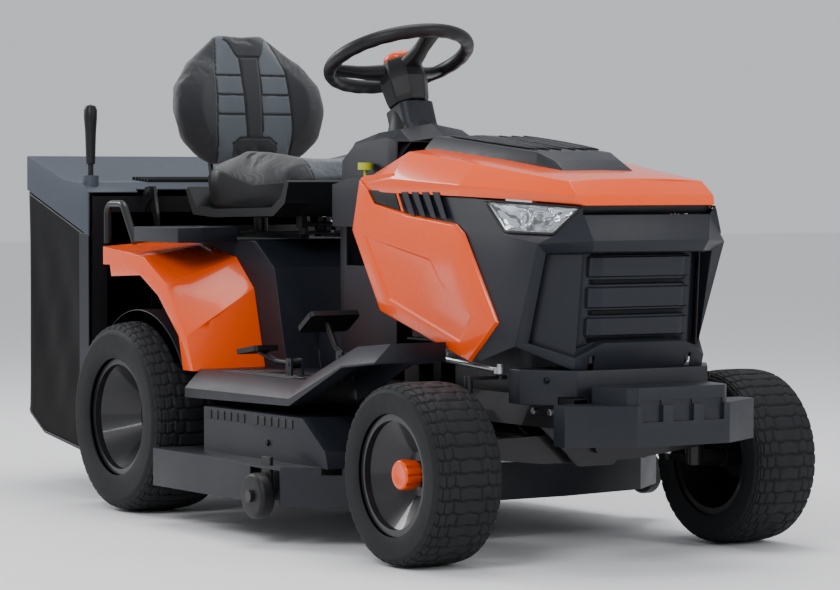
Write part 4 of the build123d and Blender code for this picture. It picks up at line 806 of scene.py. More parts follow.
# ---------------------------------------------------------------- seat
@dataclass
class SoftPad:
    """A cushion that starts as a plain closed form, is blown up as cloth and then gets its seams."""

    name: str
    node: str
    voxel: float = 0.0055
    swell: float = 0.010
    pressure: float = 4.0

    def simulate(self, piece: bpy.types.Object) -> None:
        """Blows the form up as cloth, keeping each point within the swell of where it was.

        Args:
            piece: The remeshed form.
        """
        start = np.zeros(len(piece.data.vertices) * 3)
        piece.data.vertices.foreach_get("co", start)
        start = start.reshape(-1, 3)
        cloth = piece.modifiers.new("cloth", "CLOTH")
        cloth.settings.use_pressure = True
        cloth.settings.uniform_pressure_force = self.pressure
        cloth.settings.effector_weights.gravity = 0.0
        cloth.settings.tension_stiffness = 18.0
        cloth.settings.compression_stiffness = 18.0
        cloth.point_cache.frame_start = 1
        cloth.point_cache.frame_end = 20
        scene = bpy.context.scene
        for number in range(1, 21):
            scene.frame_set(number)
        apply_all(piece)
        scene.frame_set(1)
        moved = np.zeros(len(piece.data.vertices) * 3)
        piece.data.vertices.foreach_get("co", moved)
        step = moved.reshape(-1, 3) - start
        length = np.linalg.norm(step, axis=1, keepdims=True)
        capped = start + step * np.minimum(1.0, self.swell / np.maximum(length, 1e-9))
        piece.data.vertices.foreach_set("co", capped.ravel())
        piece.data.update()

    def remesh(self, piece: bpy.types.Object, levels: int) -> None:
        """Turns the form into an even mesh and smooths its corners."""
        modifier = piece.modifiers.new("even", "REMESH")
        modifier.mode = "VOXEL"
        modifier.voxel_size = self.voxel
        apply_all(piece)
        smooth = piece.modifiers.new("soft", "SMOOTH")
        smooth.iterations = levels
        smooth.factor = 0.6
        apply_all(piece)

    def divide(self, piece: bpy.types.Object) -> None:
        """Adds one level of subdivision and smooth shading."""
        modifier = piece.modifiers.new("fine", "SUBSURF")
        modifier.levels = modifier.render_levels = 1
        apply_all(piece)
        piece.data.polygons.foreach_set("use_smooth", np.ones(len(piece.data.polygons), bool))

    def panels(self, points: np.ndarray) -> tuple[np.ndarray, np.ndarray, np.ndarray]:
        """Where strips and seams run; sub-classes say.

        Args:
            points: The mesh's vertices.

        Returns:
            The panel mask, the seam depth from 0 to 1, and the direction that a seam sinks in.
        """
        raise NotImplementedError

    def form(self) -> bpy.types.Object:
        """The plain closed form; sub-classes say."""
        raise NotImplementedError

    def build(self, body: str) -> None:
        """Makes the cushion in place of its node."""
        piece = self.form()
        piece.name = self.name
        self.remesh(piece, 6)
        self.simulate(piece)
        self.divide(piece)
        points = np.zeros(len(piece.data.vertices) * 3)
        piece.data.vertices.foreach_get("co", points)
        points = points.reshape(-1, 3)
        panel, seam, sink = self.panels(points)
        points = points + sink * seam[:, None] * 0.0035
        piece.data.vertices.foreach_set("co", points.ravel())
        mask = piece.data.attributes.new("panel", "FLOAT", "POINT")
        # Seam lines get the value -1, which the cloth darkens to 0.35 of its colour as painted shade in the
        # sunk seams.
        mask.data.foreach_set("value", np.where(seam > 0.55, -1.0, panel).astype(np.float32))
        piece.data.update()
        publish(piece, SEAT_CLOTH, body, (self.node,))


@dataclass
class BackRest(SoftPad):
    """The backrest: an egg-shaped outline, thick at its two wings and hollow in the middle."""

    lean: float = 0.19

    def outline(self, share: np.ndarray) -> np.ndarray:
        """Half width of the backrest.

        Args:
            share: Height from 0, bottom, to 1, top.

        Returns:
            The half width at each height.
        """
        return np.interp(share, [0, 0.06, 0.2, 0.42, 0.6, 0.78, 0.92, 1.0],
                         [0.118, 0.158, 0.2, 0.215, 0.206, 0.165, 0.108, 0.072])

    def form(self) -> bpy.types.Object:
        """A stack of level loops, each with a hollow front between two wings."""
        low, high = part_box(self.node)
        heights = np.linspace(0, 1, 24)
        turn = np.linspace(0, TAU, 48, endpoint=False)
        half = self.outline(heights)[:, None]
        rise = low.z + 0.012 + (high.z - low.z - 0.022) * heights[:, None]
        bow = np.sin(heights * math.pi)[:, None]
        back_x = low.x + 0.012 + (high.x - low.x - 0.105) * (1 - heights[:, None])
        aside = half * np.sign(np.cos(turn)) * np.abs(np.cos(turn)) ** 0.75
        thick = 0.045 + 0.02 * bow
        wing = 0.028 * bow * smoothstep(np.abs(aside) / 0.215, 0.35, 0.85)
        front = np.sin(turn) > 0
        x = back_x + thick * (0.5 + 0.5 * np.sign(np.sin(turn)) * np.abs(np.sin(turn)) ** 0.7) + wing * front
        return loft(self.name, np.stack([x, aside, rise + 0 * turn], axis=2))

    def panels(self, points: np.ndarray) -> tuple[np.ndarray, np.ndarray, np.ndarray]:
        """Two grey strips from the shoulders to the bottom, a head panel and a lumbar panel, with seams."""
        low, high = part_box(self.node)
        share = (points[:, 2] - low.z) / (high.z - low.z)
        y = np.abs(points[:, 1])
        centre_x = np.interp(share, [0, 1], [high.x - 0.085, low.x + 0.02])
        front = points[:, 0] > centre_x
        outer = np.interp(share, [0, 0.3, 0.7, 0.9, 1.0], [0.100, 0.108, 0.100, 0.078, 0.064])
        inner = np.interp(share, [0, 1], [0.019, 0.030])
        head = (share > 0.80 + 0.12 * smoothstep(y, 0.03, 0.058)) & (y < 0.056)
        lumbar = (share < 0.235 - 0.04 * smoothstep(y, 0.04, 0.062)) & (y < 0.064)
        strip = front & (y < outer) & (y > inner) & ~head & ~lumbar
        tall = high.z - low.z
        head_line = np.abs((share - 0.80 - 0.12 * smoothstep(y, 0.03, 0.058)) * tall)
        lumbar_line = np.abs((share - 0.235 + 0.04 * smoothstep(y, 0.04, 0.062)) * tall)
        far = 9.0
        edge = np.minimum.reduce([np.abs(y - outer), np.where(head | lumbar, far, np.abs(y - inner)),
                                  np.where(y < 0.058, head_line, far), np.where(y < 0.064, lumbar_line, far)])
        for level in (0.40, 0.535, 0.67):
            line = np.abs(share - level) * (high.z - low.z)
            edge = np.where(strip, np.minimum(edge, line), edge)
        seam = np.where(front, 1 - smoothstep(edge, 0.0006, 0.0042), 0.0)
        sink = np.tile(np.array([-1.0, 0, 0.1]), (len(points), 1))
        return strip.astype(float), seam, sink


@dataclass
class SeatCushion(SoftPad):
    """The cushion: a long pad with raised sides at the hips, sloping to a rounded front."""

    def form(self) -> bpy.types.Object:
        """Cross-sections from back to front: a rounded bar whose top has a bolster on each side."""
        low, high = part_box(self.node)
        share = np.linspace(0, 1, 26)[:, None]
        x = low.x + 0.012 + (high.x - low.x - 0.024) * share
        turn = np.linspace(0, TAU, 56, endpoint=False)
        half = np.interp(share, [0, 0.1, 0.35, 0.75, 0.95, 1.0], [0.175, 0.2, 0.212, 0.206, 0.188, 0.165])
        top = np.interp(share, [0, 0.08, 0.4, 0.75, 0.92, 1.0], [0.800, 0.826, 0.834, 0.838, 0.832, 0.805])
        bottom = np.interp(share, [0, 0.1, 0.8, 1.0], [0.752, 0.745, 0.745, 0.752])
        cos, sin = np.cos(turn), np.sin(turn)
        y = half * np.sign(cos) * np.abs(cos) ** 0.55
        level = 0.5 + 0.5 * np.sign(sin) * np.abs(sin) ** 0.55
        hump = np.interp(share, [0, 0.12, 0.4, 0.62, 0.85, 1], [0.006, 0.02, 0.030, 0.024, 0.010, 0.0])
        bolster = hump * np.exp(-((np.abs(y) - 0.165) / 0.055) ** 2)
        z = bottom + (top - bottom + bolster) * level
        return loft(self.name, np.stack([x + 0 * y, y, z], axis=2))

    def panels(self, points: np.ndarray) -> tuple[np.ndarray, np.ndarray, np.ndarray]:
        """A grey middle at the front, with a seam each side, and cross seams on the seat."""
        low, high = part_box(self.node)
        share = (points[:, 0] - low.x) / (high.x - low.x)
        y = np.abs(points[:, 1])
        outer = np.interp(share, [0, 0.6, 1.0], [0.108, 0.112, 0.122])
        inner = np.interp(share, [0, 0.55, 0.75], [0.022, 0.030, -0.01])
        upper = points[:, 2] > np.interp(share, [0, 0.9, 1.0], [0.765, 0.765, 0.755])
        strip = upper & (y < outer) & (y > inner)
        edge = np.minimum(np.abs(y - outer), np.abs(y - inner))
        for level in (0.25, 0.42, 0.59):
            line = np.abs(share - level) * (high.x - low.x)
            edge = np.where(strip, np.minimum(edge, line), edge)
        seam = np.where(upper, 1 - smoothstep(edge, 0.0006, 0.0042), 0.0)
        sink = np.tile(np.array([0, 0, -1.0]), (len(points), 1))
        return strip.astype(float), seam, sink


# ---------------------------------------------------------------- faceted mouldings
FRONT_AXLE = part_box("front_tyre_right")[0].lerp(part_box("front_tyre_right")[1], 0.5).x
REAR_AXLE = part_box("rear_tyre_right")[0].lerp(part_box("rear_tyre_right")[1], 0.5).x


@dataclass
class Moulding:
    """A sheet of flat facets between named corners, mirrored to both sides and given a wall.

    Corners are (distance in front of an axle, half width, height) in millimetres. A face names its corners,
    and a corner name with a star is the one on the other side.
    """

    name: str
    corners: dict[str, tuple[float, float, float]]
    faces: list[str]
    origin: float
    wall: float = 0.0035
    edge: float = 0.004
    segments: int = 3

    def build(self) -> bpy.types.Object:
        """Makes the solid moulding with rounded edges.

        Returns:
            The object.
        """
        index: dict[tuple[str, int], int] = {}
        points: list[tuple[float, float, float]] = []
        faces: set[tuple[int, ...]] = set()
        made: list[list[int]] = []

        def number(corner: str, side: int) -> int:
            """The vertex number of a corner, shared on the middle plane.

            Args:
                corner: The corner's name, with a star for the other side.
                side: The sign of Y.

            Returns:
                The number.
            """
            name, turn = corner.rstrip("*"), side * (-1 if corner.endswith("*") else 1)
            x, y, z = self.corners[name]
            key = (name, 0 if y == 0 else turn)
            if key not in index:
                index[key] = len(points)
                points.append((self.origin + x / 1000, turn * y / 1000, z / 1000))
            return index[key]

        for side in (-1, 1):
            for face in self.faces:
                loop = [number(corner, side) for corner in face.split()]
                if side == 1:
                    loop.reverse()
                if tuple(sorted(loop)) not in faces:
                    faces.add(tuple(sorted(loop)))
                    made.append(loop)
        piece = new_mesh(self.name, np.array(points), made, smooth=False)
        face_outwards(piece)
        shell = piece.modifiers.new("wall", "SOLIDIFY")
        shell.thickness = self.wall
        shell.offset = -1.0
        shell.use_even_offset = True
        shell.use_quality_normals = True
        apply_all(piece)
        if self.edge:
            round_off = piece.modifiers.new("edge", "BEVEL")
            round_off.width = self.edge
            round_off.segments = self.segments
            round_off.limit_method = "ANGLE"
            round_off.angle_limit = math.radians(7)
            round_off.use_clamp_overlap = True
            apply_all(piece)
            piece.data.polygons.foreach_set("use_smooth", np.ones(len(piece.data.polygons), bool))
            piece.data.set_sharp_from_angle(angle=math.radians(28))
        return piece


# ---------------------------------------------------------------- hood
@dataclass
class Hood:
    """The hood: orange top and side panels, the dark nose with its louvres, the scoop and the lamps."""

    body: str = "hood"

    def top(self) -> None:
        """Orange top: rows of points from the lower edge over the crease and the top edge to the middle."""
        corners = {
            "a0": (-507, 238, 772), "b0": (-507, 240, 790), "c0": (-504, 222, 806), "d0": (-504, 130, 816),
            "e0": (-504, 0, 818),
            "a1": (-390, 242, 768), "b1": (-390, 243, 800), "c1": (-366, 210, 859), "d1": (-366, 138, 866),
            "e1": (-366, 0, 868),
            "a2": (-114, 241, 762), "b2": (-114, 244, 786), "c2": (-114, 204, 832), "d2": (-114, 120, 838),
            "e2": (-114, 0, 840),
            "a3": (60, 206, 755), "b3": (60, 213, 775), "c3": (60, 186, 810), "d3": (60, 95, 815),
            "e3": (60, 0, 817),
            "a4": (200, 174, 747), "b4": (196, 184, 765), "c4": (186, 171, 795), "d4": (189, 90, 799),
            "e4": (190, 0, 800),
            "a5": (237, 166, 745), "b5": (221, 176, 765), "e5": (224, 0, 767), "f5": (240, 0, 746),
        }
        strips = ("ab", "bc", "cd", "de")
        faces = [f"{p}{i} {q}{i} {q}{i + 1} {p}{i + 1}" for i in range(4) for p, q in strips]
        faces += ["a4 b4 b5 a5", "b4 c4 b5", "c4 d4 e4 e5 b5", "b5 e5 f5 a5"]
        piece = Moulding("hood_top", corners, faces, FRONT_AXLE, edge=0.0055).build()
        publish(piece, ORANGE, self.body, ("hood_shell",))

    def sides(self) -> None:
        """Orange side panels: a six-cornered plate with a bevelled rim and a shallow inner field."""
        rim = {
            "a": (-558, 687), "b": (-526, 799), "c": (-490, 776), "d": (-463, 746), "e": (-349, 728),
            "f": (-330, 724), "g": (-132, 704), "h": (-100, 684), "i": (30, 499), "j": (-77, 411),
            "k": (-439, 506),
        }
        middle_x, middle_z = -250.0, 610.0

        def towards(point: tuple[float, float], step: float) -> tuple[float, float]:
            """Moves a point towards the panel's middle.

            Args:
                point: Its X and Z.
                step: How far.

            Returns:
                The moved point.
            """
            x, z = middle_x - point[0], middle_z - point[1]
            length = math.hypot(x, z)
            return point[0] + x * step / length, point[1] + z * step / length

        def level(ring: dict[str, tuple[float, float]], y: float, mark: str = "",
                  step: float = 0.0) -> dict[str, tuple[float, float, float]]:
            """The corners of a ring at one half width.

            Args:
                ring: The corners' X and Z by name.
                y: The half width.
                mark: What is added to each name.
                step: How far each corner moves towards the middle.

            Returns:
                The corners by their marked names.
            """
            inner = {name: towards(point, step) for name, point in ring.items()}
            return {name + mark: (x, y, z) for name, (x, z) in inner.items()}

        corners = level(rim, 237.0) | level(rim, 243.6, "o", 7)
        order = list(rim)
        faces = [f"{p} {q} {q}o {p}o" for p, q in zip(order, order[1:] + order[:1])]
        field = {"p": (-500, 672), "q": (-226, 628), "r": (-178, 570), "s": (-62, 506), "t": (-110, 452),
                 "u": (-400, 534)}
        corners |= level(field, 244.6) | level(field, 241.6, "n", 9)
        loop = list(field)
        faces += [f"{p} {q} {q}n {p}n" for p, q in zip(loop, loop[1:] + loop[:1])]
        faces.append(" ".join(name + "n" for name in loop))
        faces += ["ao bo co do p", "do eo fo q p", "fo go q", "go ho r q", "ho io s r", "io jo t s",
                  "jo ko u t", "ko ao p u"]
        piece = Moulding("side_panel_skins", corners, faces, FRONT_AXLE, edge=0.0022, segments=2).build()
        publish(piece, ORANGE, self.body, ("side_panels",))
        band = {"a": (-526, 239, 799), "b": (-507, 240, 806), "c": (-383, 240, 812), "d": (-383, 240, 779),
                "e": (-490, 240, 779)}
        piece = Moulding("side_band", band, ["a b c d e"], FRONT_AXLE, edge=0.001).build()
        publish(piece, ORANGE, self.body)

    def tags(self) -> None:
        """Dark blank badge, slim orange strip and the vent's three slanted fins behind the headlamp."""
        tag = {"a": (-488, 240.4, 775), "b": (-378, 240.4, 772), "c": (-356, 240.4, 732),
               "d": (-462, 240.4, 748)}
        publish(Moulding("side_badge", tag, ["a b c d"], FRONT_AXLE, wall=0.002, edge=0.0006).build(),
                BLACK_PLASTIC, self.body)
        slim = {"a": (-374, 241, 773), "b": (-366, 241, 773), "c": (-340, 241, 727), "d": (-349, 241, 729)}
        publish(Moulding("side_strip", slim, ["a b c d"], FRONT_AXLE, wall=0.003, edge=0.0008).build(),
                ORANGE, self.body)
        for number in range(4):
            x = -350.0 + number * 42
            fin = {"a": (x, 239, 772), "b": (x + 30, 241.5, 771), "c": (x + 62, 241.5, 719 - number * 2),
                   "d": (x + 36, 238, 722 - number * 2)}
            piece = Moulding(f"vent_fin_{number}", fin, ["a b c d"], FRONT_AXLE, wall=0.003, edge=0.001).build()
            publish(piece, SLATE, self.body)

    def nose(self) -> None:
        """Dark nose: side skins, the ring round the louvres, its deep cheeks, the brow panel and the chin."""
        corners = {
            "r0": (-470, 233, 530), "r1": (-548, 233, 700), "r2": (-500, 234, 768), "r3": (-114, 235.5, 761),
            "lt": (-43, 229, 756), "lb": (43, 235, 686), "br": (196, 214, 683), "tr": (234, 170, 742),
            "pu": (227, 163, 726), "pl": (241, 148, 672), "a1": (175, 241, 667), "a2": (88, 238, 452),
            "a3": (197, 163, 404), "a4": (-42, 235, 416), "a5": (-250, 234, 450), "b1": (166, 213, 647),
            "b2": (114, 221, 459), "b3": (201, 166, 431), "c1": (215, 103, 461), "hl": (231, 141, 649),
            "b1d": (136, 205, 643), "b2d": (92, 212, 462), "k1": (207, 151, 645), "k2": (190, 155, 449),
            "hd": (207, 140, 646), "cd": (192, 103, 466), "bd": (186, 158, 437),
        }
        faces = [
            "r1 r2 r3 lt lb a1 a2 a4 a5 r0", "lb br a1", "br tr pu pl", "br pl a1", "pu pu* pl* pl",
            "a1 pl hl b1", "pl pl* hl* hl", "a1 b1 b2 a2", "a2 b2 b3 a3", "a3 b3 c1 c1* b3* a3*",
            "b1 b1d b2d b2", "b2 b2d bd b3", "b3 bd cd c1", "c1 cd cd* c1*", "hl hl* hd* hd",
            "hl hd k1 b1d b1", "b1d k1 k2 b2d", "b2d k2 bd", "k2 bd cd",
        ]
        piece = Moulding("hood_nose", corners, faces, FRONT_AXLE, wall=0.003, edge=0.003).build()
        for side in Side:
            y = sorted((side.value * 0.1165, side.value * 0.1315))
            notch = block(f"notch_{side.word}", (FRONT_AXLE + 0.15, y[0], 0.385),
                          (FRONT_AXLE + 0.25, y[1], 0.435), 0.001)
            cut = piece.modifiers.new("notch", "BOOLEAN")
            cut.operation = "DIFFERENCE"
            cut.solver = "EXACT"
            cut.object = notch
            apply_all(piece)
            bpy.data.objects.remove(notch)
        publish(piece, SLATE, self.body, ("hood_fascia",))

    def louvres(self) -> None:
        """The louvre block as a height field: three wide panels that stand out between tapered slots.

        Depth over the plane is a bump for each panel, lost in a groove between two panels, and the whole face
        falls back towards both sides.
        """
        across, up = 220, 200
        y = np.linspace(-0.152, 0.152, across)[None, :]
        z = np.linspace(0.446, 0.648, up)[:, None]
        base = FRONT_AXLE + np.interp(z, [0.446, 0.648], [0.190, 0.207])
        side = 0.011 * smoothstep(np.abs(y), 0.098, 0.128) + 0.006 * smoothstep(np.abs(y), 0.135, 0.15)
        relief = np.zeros((up, across))
        for low, high in ((0.474, 0.514), (0.532, 0.577), (0.596, 0.640)):
            lift = smoothstep(z, low, low + 0.003) * (1 - smoothstep(z, high - 0.003, high))
            relief = np.maximum(relief, lift * (1 - smoothstep(np.abs(y), 0.128, 0.131)))
        slot = np.zeros((up, across))
        for level, half in ((0.523, 0.0055), (0.5865, 0.0055), (0.6445, 0.0035), (0.467, 0.0055)):
            cut = 1 - smoothstep(np.abs(z - level), half - 0.0015, half)
            slot = np.maximum(slot, cut * (1 - smoothstep(np.abs(y), 0.100, 0.128)))
        x = base - side + 0.007 * relief - 0.022 * slot
        front = np.stack([x, np.broadcast_to(y, x.shape), np.broadcast_to(z, x.shape)], axis=2)
        back = front.copy()
        back[:, :, 0] = FRONT_AXLE + 0.150
        points = np.concatenate([front.reshape(-1, 3), back.reshape(-1, 3)])
        faces = grid_faces(up, across)
        rear_faces = faces[:, ::-1] + up * across
        number = np.arange(up * across).reshape(up, across)
        edge = np.concatenate([number[0], number[1:, -1], number[-1, -2::-1], number[-2:0:-1, 0]]).tolist()
        ring = [(a, b, b + up * across, a + up * across) for a, b in zip(edge, edge[1:] + edge[:1])]
        piece = new_mesh("nose_louvres", points, [*faces.tolist(), *rear_faces.tolist(), *ring])
        face_outwards(piece)
        piece.data.set_sharp_from_angle(angle=math.radians(35))
        publish(piece, SLATE, self.body, ("grille",))

    def scoop(self) -> None:
        """Scoop on the hood: a long low wedge with raised ribs along its top and a steep front."""
        corners = {
            "a0": (-400, 150, 864), "b0": (-392, 128, 893), "c0": (-392, 0, 897),
            "a1": (-30, 104, 826), "b1": (-36, 96, 856), "c1": (-36, 0, 858),
            "a2": (72, 92, 806), "b2": (14, 84, 838), "c2": (14, 0, 840), "c3": (74, 0, 808),
        }
        faces = ["a0 b0 b1 a1", "b0 c0 c1 b1", "a1 b1 b2 a2", "b1 c1 c2 b2", "a2 b2 c2 c3"]
        piece = Moulding("hood_scoop_skin", corners, faces, FRONT_AXLE, wall=0.004, edge=0.004).build()
        publish(piece, SLATE, self.body, ("hood_scoop",))
        for side in Side:
            for number, offset in enumerate((18, 52, 84)):
                rear_y, front_y = side.value * (offset + 14) / 1000, side.value * (offset + 2) * 0.92 / 1000
                rear = np.array([FRONT_AXLE - 0.372, rear_y, 0.8945])
                front = np.array([FRONT_AXLE - 0.06, front_y, 0.8625])
                share = np.linspace(0, 1, 12)[:, None]
                path = rear * (1 - share) + front * share
                radius = 0.0045 * np.sin(np.linspace(0.12, math.pi - 0.12, 12)) ** 0.4
                piece = tube(f"scoop_rib_{side.word}_{number}", path, radius, sides=8)
                publish(piece, SLATE, self.body)

    def lamp(self, side: Side) -> None:
        """A headlamp: chrome bowl, round spot with a clear dome, a clear cover and a dark rim.

        The opening is a patch between four corners; the bowl sinks in by the root of sin(pi u) sin(pi v).

        Args:
            side: Which side of the hood.
        """
        sign = side.value
        rim = np.array([(-40, 227.5, 753), (44, 233, 689), (193, 213.5, 686), (230, 171, 740)])
        rim = np.stack([FRONT_AXLE + rim[:, 0] / 1000, sign * rim[:, 1] / 1000, rim[:, 2] / 1000], axis=1)
        u = np.linspace(0, 1, 40)[None, :, None]
        v = np.linspace(0, 1, 18)[:, None, None]
        patch = (rim[0] * (1 - u) + rim[3] * u) * (1 - v) + (rim[1] * (1 - u) + rim[2] * u) * v
        bulge = (np.sin(math.pi * u) * np.sin(math.pi * v)) ** 0.5
        inward = np.array([-0.35, -0.75 * sign, 0.0])
        facets = 0.0022 * np.sign(np.sin(u * 26)) * np.sign(np.sin(v * 12)) * bulge
        bowl = patch + inward * (0.004 + 0.034 * bulge + facets)
        cover = patch - inward * 0.0035 * bulge

        def shell(name: str, grid: np.ndarray, wall: float) -> bpy.types.Object:
            """Gives a grid of points a wall.

            Args:
                name: The piece's name.
                grid: Rows of points.
                wall: The wall's thickness.

            Returns:
                The object.
            """
            piece = new_mesh(name, grid, grid_faces(*grid.shape[:2]))
            solid = piece.modifiers.new("wall", "SOLIDIFY")
            solid.thickness = wall
            solid.offset = 0.0
            apply_all(piece)
            face_outwards(piece)
            return piece

        publish(shell(f"lamp_bowl_{side.word}", bowl, 0.0015), CHROME, self.body)
        publish(shell(f"lamp_cover_{side.word}", cover, 0.0016), GLASS, self.body, ("headlights",))
        spot = rim[0] * 0.28 + rim[1] * 0.30 + rim[2] * 0.20 + rim[3] * 0.22 + inward * 0.014
        profile = np.array([(-0.004, 0), (-0.004, 0.017), (0.004, 0.019), (0.009, 0.017), (0.006, 0.0155),
                            (0.004, 0.012), (0.009, 0.007), (0.0105, 0.0)])
        profile[:, 0] *= sign
        publish(turned(f"lamp_spot_{side.word}", profile, spot, "Y", 36), CHROME, self.body)
        dome = np.array([(0.002, 0), (0.002, 0.0115), (0.006, 0.011), (0.010, 0.0085), (0.0125, 0.0045),
                         (0.0135, 0)])
        dome[:, 0] *= sign
        publish(turned(f"lamp_dome_{side.word}", dome, spot, "Y", 30), GLASS, self.body)
        loop = np.concatenate([np.linspace(rim[i], rim[(i + 1) % 4], 12, endpoint=False) for i in range(4)])
        bezel = tube(f"lamp_rim_{side.word}", loop, 0.0035, sides=8, loop=True)
        publish(bezel, BLACK_PLASTIC, self.body)

    def build(self) -> None:
        """Makes every piece of the hood."""
        self.top()
        self.sides()
        self.tags()
        self.nose()
        self.louvres()
        self.scoop()
        for side in Side:
            self.lamp(side)
        brow = {"a": (214, 163, 727), "b": (222, 164, 745), "c": (226, 0, 745), "d": (216, 0, 727)}
        publish(Moulding("brow_shadow", brow, ["a b c d"], FRONT_AXLE, wall=0.002, edge=0.0).build(),
                BLACK_PLASTIC, self.body)


# ---------------------------------------------------------------- steering and dash
@dataclass
class SteeringWheel:
    """Steering wheel: a thick ring, three flat spokes, an eight-sided hub block and its column."""

    ring_radius: float = 0.1625
    tube_radius: float = 0.0158
    tilt: float = math.radians(22)

    def place(self, points: np.ndarray) -> np.ndarray:
        """Turns points from the wheel's own frame to the machine: its axis leans back by the tilt.

        Args:
            points: Points with the wheel's axis as Z.

        Returns:
            The points in the machine's frame.
        """
        cos, sin = math.cos(self.tilt), math.sin(self.tilt)
        turned_points = np.stack([points[..., 0] * cos - points[..., 2] * sin, points[..., 1],
                                  points[..., 0] * sin + points[..., 2] * cos], axis=-1)
        return turned_points + np.array([REAR_AXLE + 0.544, 0.0, 1.077])

    def ring(self) -> None:
        """The ring: a circle of circles, a little flattened, with a finger wave on its under side."""
        turn = np.linspace(0, TAU, 144, endpoint=False)[:, None]
        around = np.linspace(0, TAU, 24, endpoint=False)[None, :]
        wave = 1 - 0.035 * np.cos(turn * 24) * np.clip(-np.sin(around), 0, 1)
        radius = self.ring_radius + self.tube_radius * np.cos(around) * wave
        points = np.stack([radius * np.cos(turn), radius * np.sin(turn),
                           self.tube_radius * 1.02 * np.sin(around) * wave + 0 * turn], axis=2)
        piece = new_mesh("steering_ring", self.place(points), grid_faces(144, 24, True, True))
        face_outwards(piece)
        publish(piece, GRIP, "steering_wheel", ("steering_wheel",))

    def spokes(self) -> None:
        """Three wide flat spokes that drop from the ring to the hub."""
        for number, angle in enumerate((0.0, 115.0, 245.0)):
            direction = math.radians(angle)
            along = np.linspace(0.035, self.ring_radius - 0.004, 14)
            half = np.interp(along, [0.035, 0.10, 0.16], [0.026, 0.017, 0.022])
            drop = np.interp(along, [0.035, 0.08, 0.14, 0.16], [-0.030, -0.022, -0.006, -0.002])
            thick = np.interp(along, [0.035, 0.16], [0.016, 0.010])
            turn = np.linspace(0, TAU, 20, endpoint=False)[None, :]
            aside = half[:, None] * np.sign(np.cos(turn)) * np.abs(np.cos(turn)) ** 0.45
            rise = drop[:, None] + thick[:, None] * np.sign(np.sin(turn)) * np.abs(np.sin(turn)) ** 0.6
            x = along[:, None] * math.cos(direction) - aside * math.sin(direction)
            y = along[:, None] * math.sin(direction) + aside * math.cos(direction)
            piece = loft(f"steering_spoke_{number}", self.place(np.stack([x, y, rise], axis=2)), smooth=True)
            piece.data.set_sharp_from_angle(angle=math.radians(50))
            publish(piece, GRIP, "steering_wheel")

    def hub(self) -> None:
        """Hub block with eight sides, its foot drawn in, and the column below it."""
        turn = (np.arange(8) + 0.5) / 8 * TAU
        rows = [(-0.118, 0.046), (-0.104, 0.050), (-0.062, 0.056), (-0.014, 0.050), (-0.008, 0.040)]
        loops = np.array([[(r * 1.06 * math.cos(t), r * math.sin(t), z) for t in turn] for z, r in rows])
        piece = bevelled(loft("steering_hub", self.place(loops)), 0.003, 2)
        publish(piece, GRIP, "steering_wheel")
        dome = np.array([(0.0, 0.037), (0.006, 0.036), (0.0115, 0.030), (0.0145, 0.018), (0.0155, 0.0)])
        dome = np.concatenate([[(-0.012, 0.0), (-0.012, 0.037)], dome])
        turn = np.linspace(0, TAU, 48, endpoint=False)[:, None]
        points = np.stack([dome[:, 1] * np.cos(turn), dome[:, 1] * np.sin(turn),
                           dome[:, 0] - 0.003 + 0 * turn], axis=2)
        piece = new_mesh("steering_dome", self.place(points), grid_faces(48, len(dome), wrap_rows=True))
        weld(piece, 1e-6)
        face_outwards(piece)
        publish(piece, ORANGE, "steering_wheel", ("steering_cap",))
        high, low = -0.112, -0.300
        turn = np.linspace(0, TAU, 40, endpoint=False)
        rows = [(high, 0.038), (high - 0.02, 0.039), (-0.17, 0.040), (low, 0.034)]
        loops = np.array([[(r * math.cos(t), r * math.sin(t), z) for t in turn] for z, r in rows])
        piece = loft("steering_column", self.place(loops), smooth=True)
        piece.data.set_sharp_from_angle(angle=math.radians(40))
        publish(piece, BLACK_PLASTIC, "steering_wheel")

    def build(self) -> None:
        """Makes the wheel."""
        self.ring()
        self.spokes()
        self.hub()


@dataclass
class Dash:
    """Boot and shoulders that rise from the dash round the column, and the face of the dash."""

    def build(self) -> None:
        """Makes the shoulder cowl and the boot."""
        corners = {
            "a0": (498, 118, 842), "a1": (506, 96, 884), "a2": (506, 0, 892),
            "b0": (600, 128, 868), "b1": (606, 92, 905), "b2": (606, 0, 914),
            "c0": (690, 128, 862), "c1": (684, 84, 912), "c2": (684, 0, 926),
            "d0": (745, 124, 848), "d1": (742, 90, 884), "d2": (742, 0, 896),
        }
        faces = [f"{p}0 {p}1 {q}1 {q}0" for p, q in ("ab", "bc", "cd")]
        faces += [f"{p}1 {p}2 {q}2 {q}1" for p, q in ("ab", "bc", "cd")]
        faces += ["a0 a1 a2 a2* a1* a0*", "d0 d1 d2 d2* d1* d0*"]
        piece = Moulding("dash_cowl", corners, faces, REAR_AXLE, wall=0.003, edge=0.006).build()
        publish(piece, SLATE, "chassis")
        lean = math.tan(math.radians(22))
        turn = np.linspace(0, TAU, 40, endpoint=False)
        rows = [(0.885, 0.070, 0.074), (0.905, 0.060, 0.064), (0.935, 0.049, 0.052), (0.958, 0.0445, 0.0445),
                (0.962, 0.0415, 0.0415)]
        loops = []
        for z, along, across in rows:
            centre = REAR_AXLE + 0.544 + (1.077 - z) * lean
            loops.append([(centre + along * math.cos(t), across * math.sin(t), z) for t in turn])
        piece = loft("column_boot", np.array(loops), smooth=True)
        piece.data.set_sharp_from_angle(angle=math.radians(40))
        publish(piece, BLACK_PLASTIC, "chassis")


